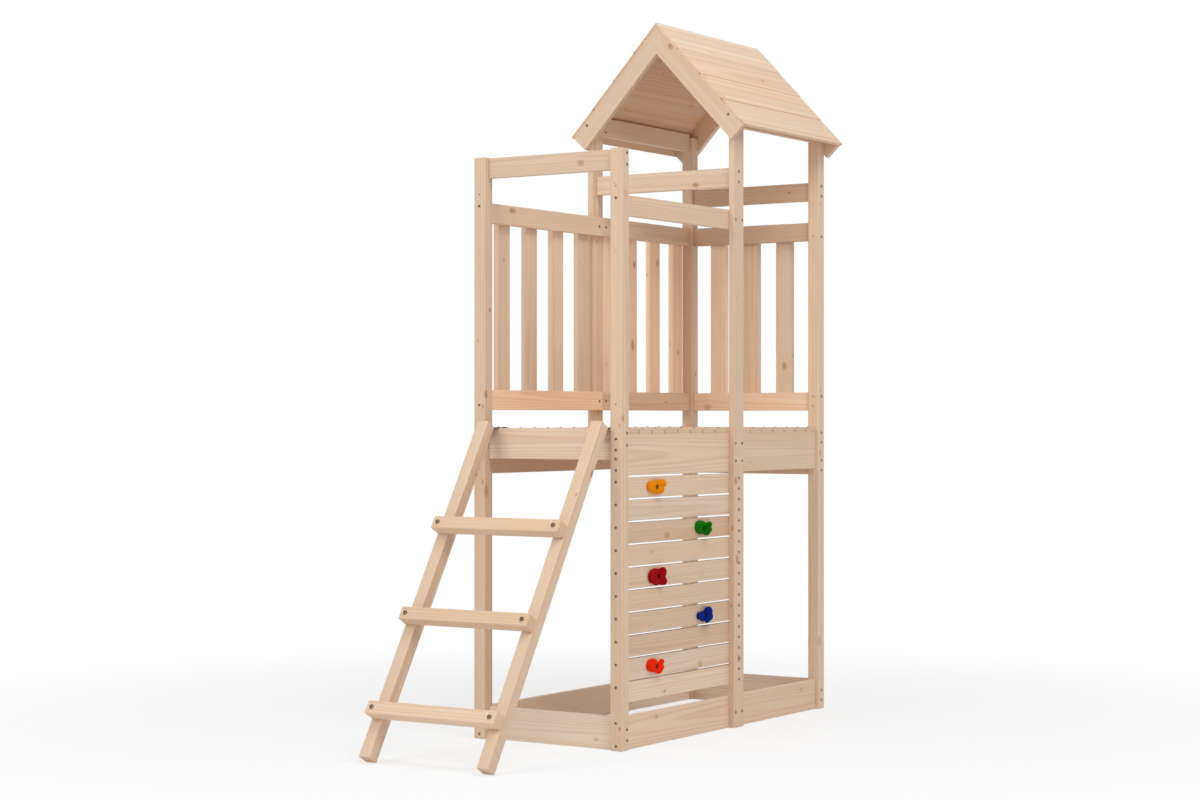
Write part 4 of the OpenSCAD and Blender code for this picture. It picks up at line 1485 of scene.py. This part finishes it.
@dataclass
class Studio:
    """The floor, the light and the camera.

    The camera stands level, so its turn in degrees is about the upright axis alone. The floor's
    shadow shows through its glow, which fades to full white between two distances from the frame.
    """

    camera_place: tuple[float, float, float] = (3.7462, -5.7103, 0.9125)
    camera_turn: float = 33.4
    lens: float = 70.807
    sensor: float = 36.0
    shift: tuple[float, float] = (-0.00185, 0.01424)
    ambient: float = 0.5
    aim: tuple[float, float, float] = (0.0, 0.2, 1.0)
    lamps: tuple[Lamp, ...] = (
        Lamp("front_softbox", (-1.8, -6.3, 5.2), 170.0, 3.5, (1.0, 1.0, 1.0)),
        Lamp("right_softbox", (3.9, -1.9, 6.5), 220.0, 3.5, (0.97, 1.0, 1.03)))
    floor_half: float = 40.0
    floor_drop: float = 0.8 * MM
    floor_colour: Colour = (0.93, 0.93, 0.93, 1.0)
    floor_glow: float = 0.66
    floor_fade: tuple[float, float] = (1.0, 3.0)

    @staticmethod
    def _seen(w: Wiring) -> NodeSocket:
        """Tells the rays that show the background from those that only light the frame.

        Args:
            w: Wiring of the world or of a material.

        Returns:
            1 for a ray from the camera, a mirror or glass, and 0 for any other.
        """
        path = w.add("ShaderNodeLightPath").outputs
        mirrored = w.math("MAXIMUM", path["Is Glossy Ray"], path["Is Transmission Ray"])
        return w.math("MAXIMUM", path["Is Camera Ray"], mirrored)

    def _world(self) -> None:
        """Lights the scene from all round, on a background that shows white."""
        world = bpy.data.worlds.new("studio_air")
        bpy.context.scene.world = world
        world.use_nodes = True
        w = Wiring(world.node_tree)
        w.tree.nodes.clear()
        dim = w.add("ShaderNodeBackground", {"Color": WHITE, "Strength": self.ambient})
        white = w.add("ShaderNodeBackground", {"Color": WHITE, "Strength": 1.0})
        both = w.add("ShaderNodeMixShader", {0: self._seen(w), 1: dim, 2: white})
        w.add("ShaderNodeOutputWorld", {"Surface": both})

    def _floor(self) -> None:
        """Lays a pale floor that keeps the object's soft shadow."""
        half, low = self.floor_half, -self.floor_drop
        mesh = bpy.data.meshes.new("studio_floor")
        corners = [(x * half, y * half, low) for x, y in ((-1, -1), (1, -1), (1, 1), (-1, 1))]
        mesh.from_pydata(corners, [], [(0, 1, 2, 3)])
        floor = stand("studio_floor", mesh)
        material = bpy.data.materials.new("studio_floor")
        material.use_nodes = True
        w = Wiring(material.node_tree)
        w.tree.nodes.clear()
        matt = w.add("ShaderNodeBsdfDiffuse", {"Color": self.floor_colour})
        glow = w.add("ShaderNodeEmission", {"Color": WHITE, "Strength": 1.0})
        spot = w.add("ShaderNodeTexCoord").outputs["Object"]
        away = w.add("ShaderNodeVectorMath", {0: spot}, operation="LENGTH").outputs["Value"]
        far = w.smooth(away, *self.floor_fade)
        fade = w.weighted((far, 1 - self.floor_glow), base=self.floor_glow)
        share = w.product(self._seen(w), fade)
        both = w.add("ShaderNodeMixShader", {0: share, 1: matt, 2: glow})
        w.add("ShaderNodeOutputMaterial", {"Surface": both})
        coat(mesh, material)

    def _hang(self, lamp: Lamp) -> None:
        """Hangs a wide soft lamp that faces the frame.

        Args:
            lamp: The lamp.
        """
        light = bpy.data.lights.new(lamp.name, "AREA")
        light.energy, light.size, light.color = lamp.power, lamp.side, lamp.colour
        hung = stand(lamp.name, light)
        hung.location = lamp.place
        facing = Vector(self.aim) - Vector(lamp.place)
        hung.rotation_euler = facing.to_track_quat("-Z", "Y").to_euler()

    def _camera(self) -> None:
        """Sets up the camera at the photograph's viewing angle."""
        lens = bpy.data.cameras.new("photo_camera")
        lens.lens, lens.sensor_width = self.lens, self.sensor
        lens.shift_x, lens.shift_y = self.shift
        camera = stand("photo_camera", lens)
        camera.location = self.camera_place
        camera.rotation_euler = (QUARTER, 0.0, math.radians(self.camera_turn))
        bpy.context.scene.camera = camera

    def build(self) -> None:
        """Sets up the whole studio."""
        bpy.context.scene.view_settings.view_transform = "Standard"
        self._world()
        self._floor()
        for lamp in self.lamps:
            self._hang(lamp)
        self._camera()


def main() -> None:
    """Builds every sub-assembly in order."""
    logging.basicConfig(level=logging.INFO, format="%(name)s: %(message)s")
    trees = RepeatTrees()
    timber = Timber(PineFinish("bare_pine").material(), trees)
    parts = [PostFrame(timber), Platform(timber), Railing(timber), Fence(timber, "left_front"),
             Fence(timber, "left_rear"), Fence(timber, "rear"), ClimbingWall(timber), Roof(timber),
             Ladder(timber), Fasteners(trees), Studio()]
    for part in parts:
        part.build()
        LOG.info("%s done", type(part).__name__)


if __name__ == "__main__":
    main()
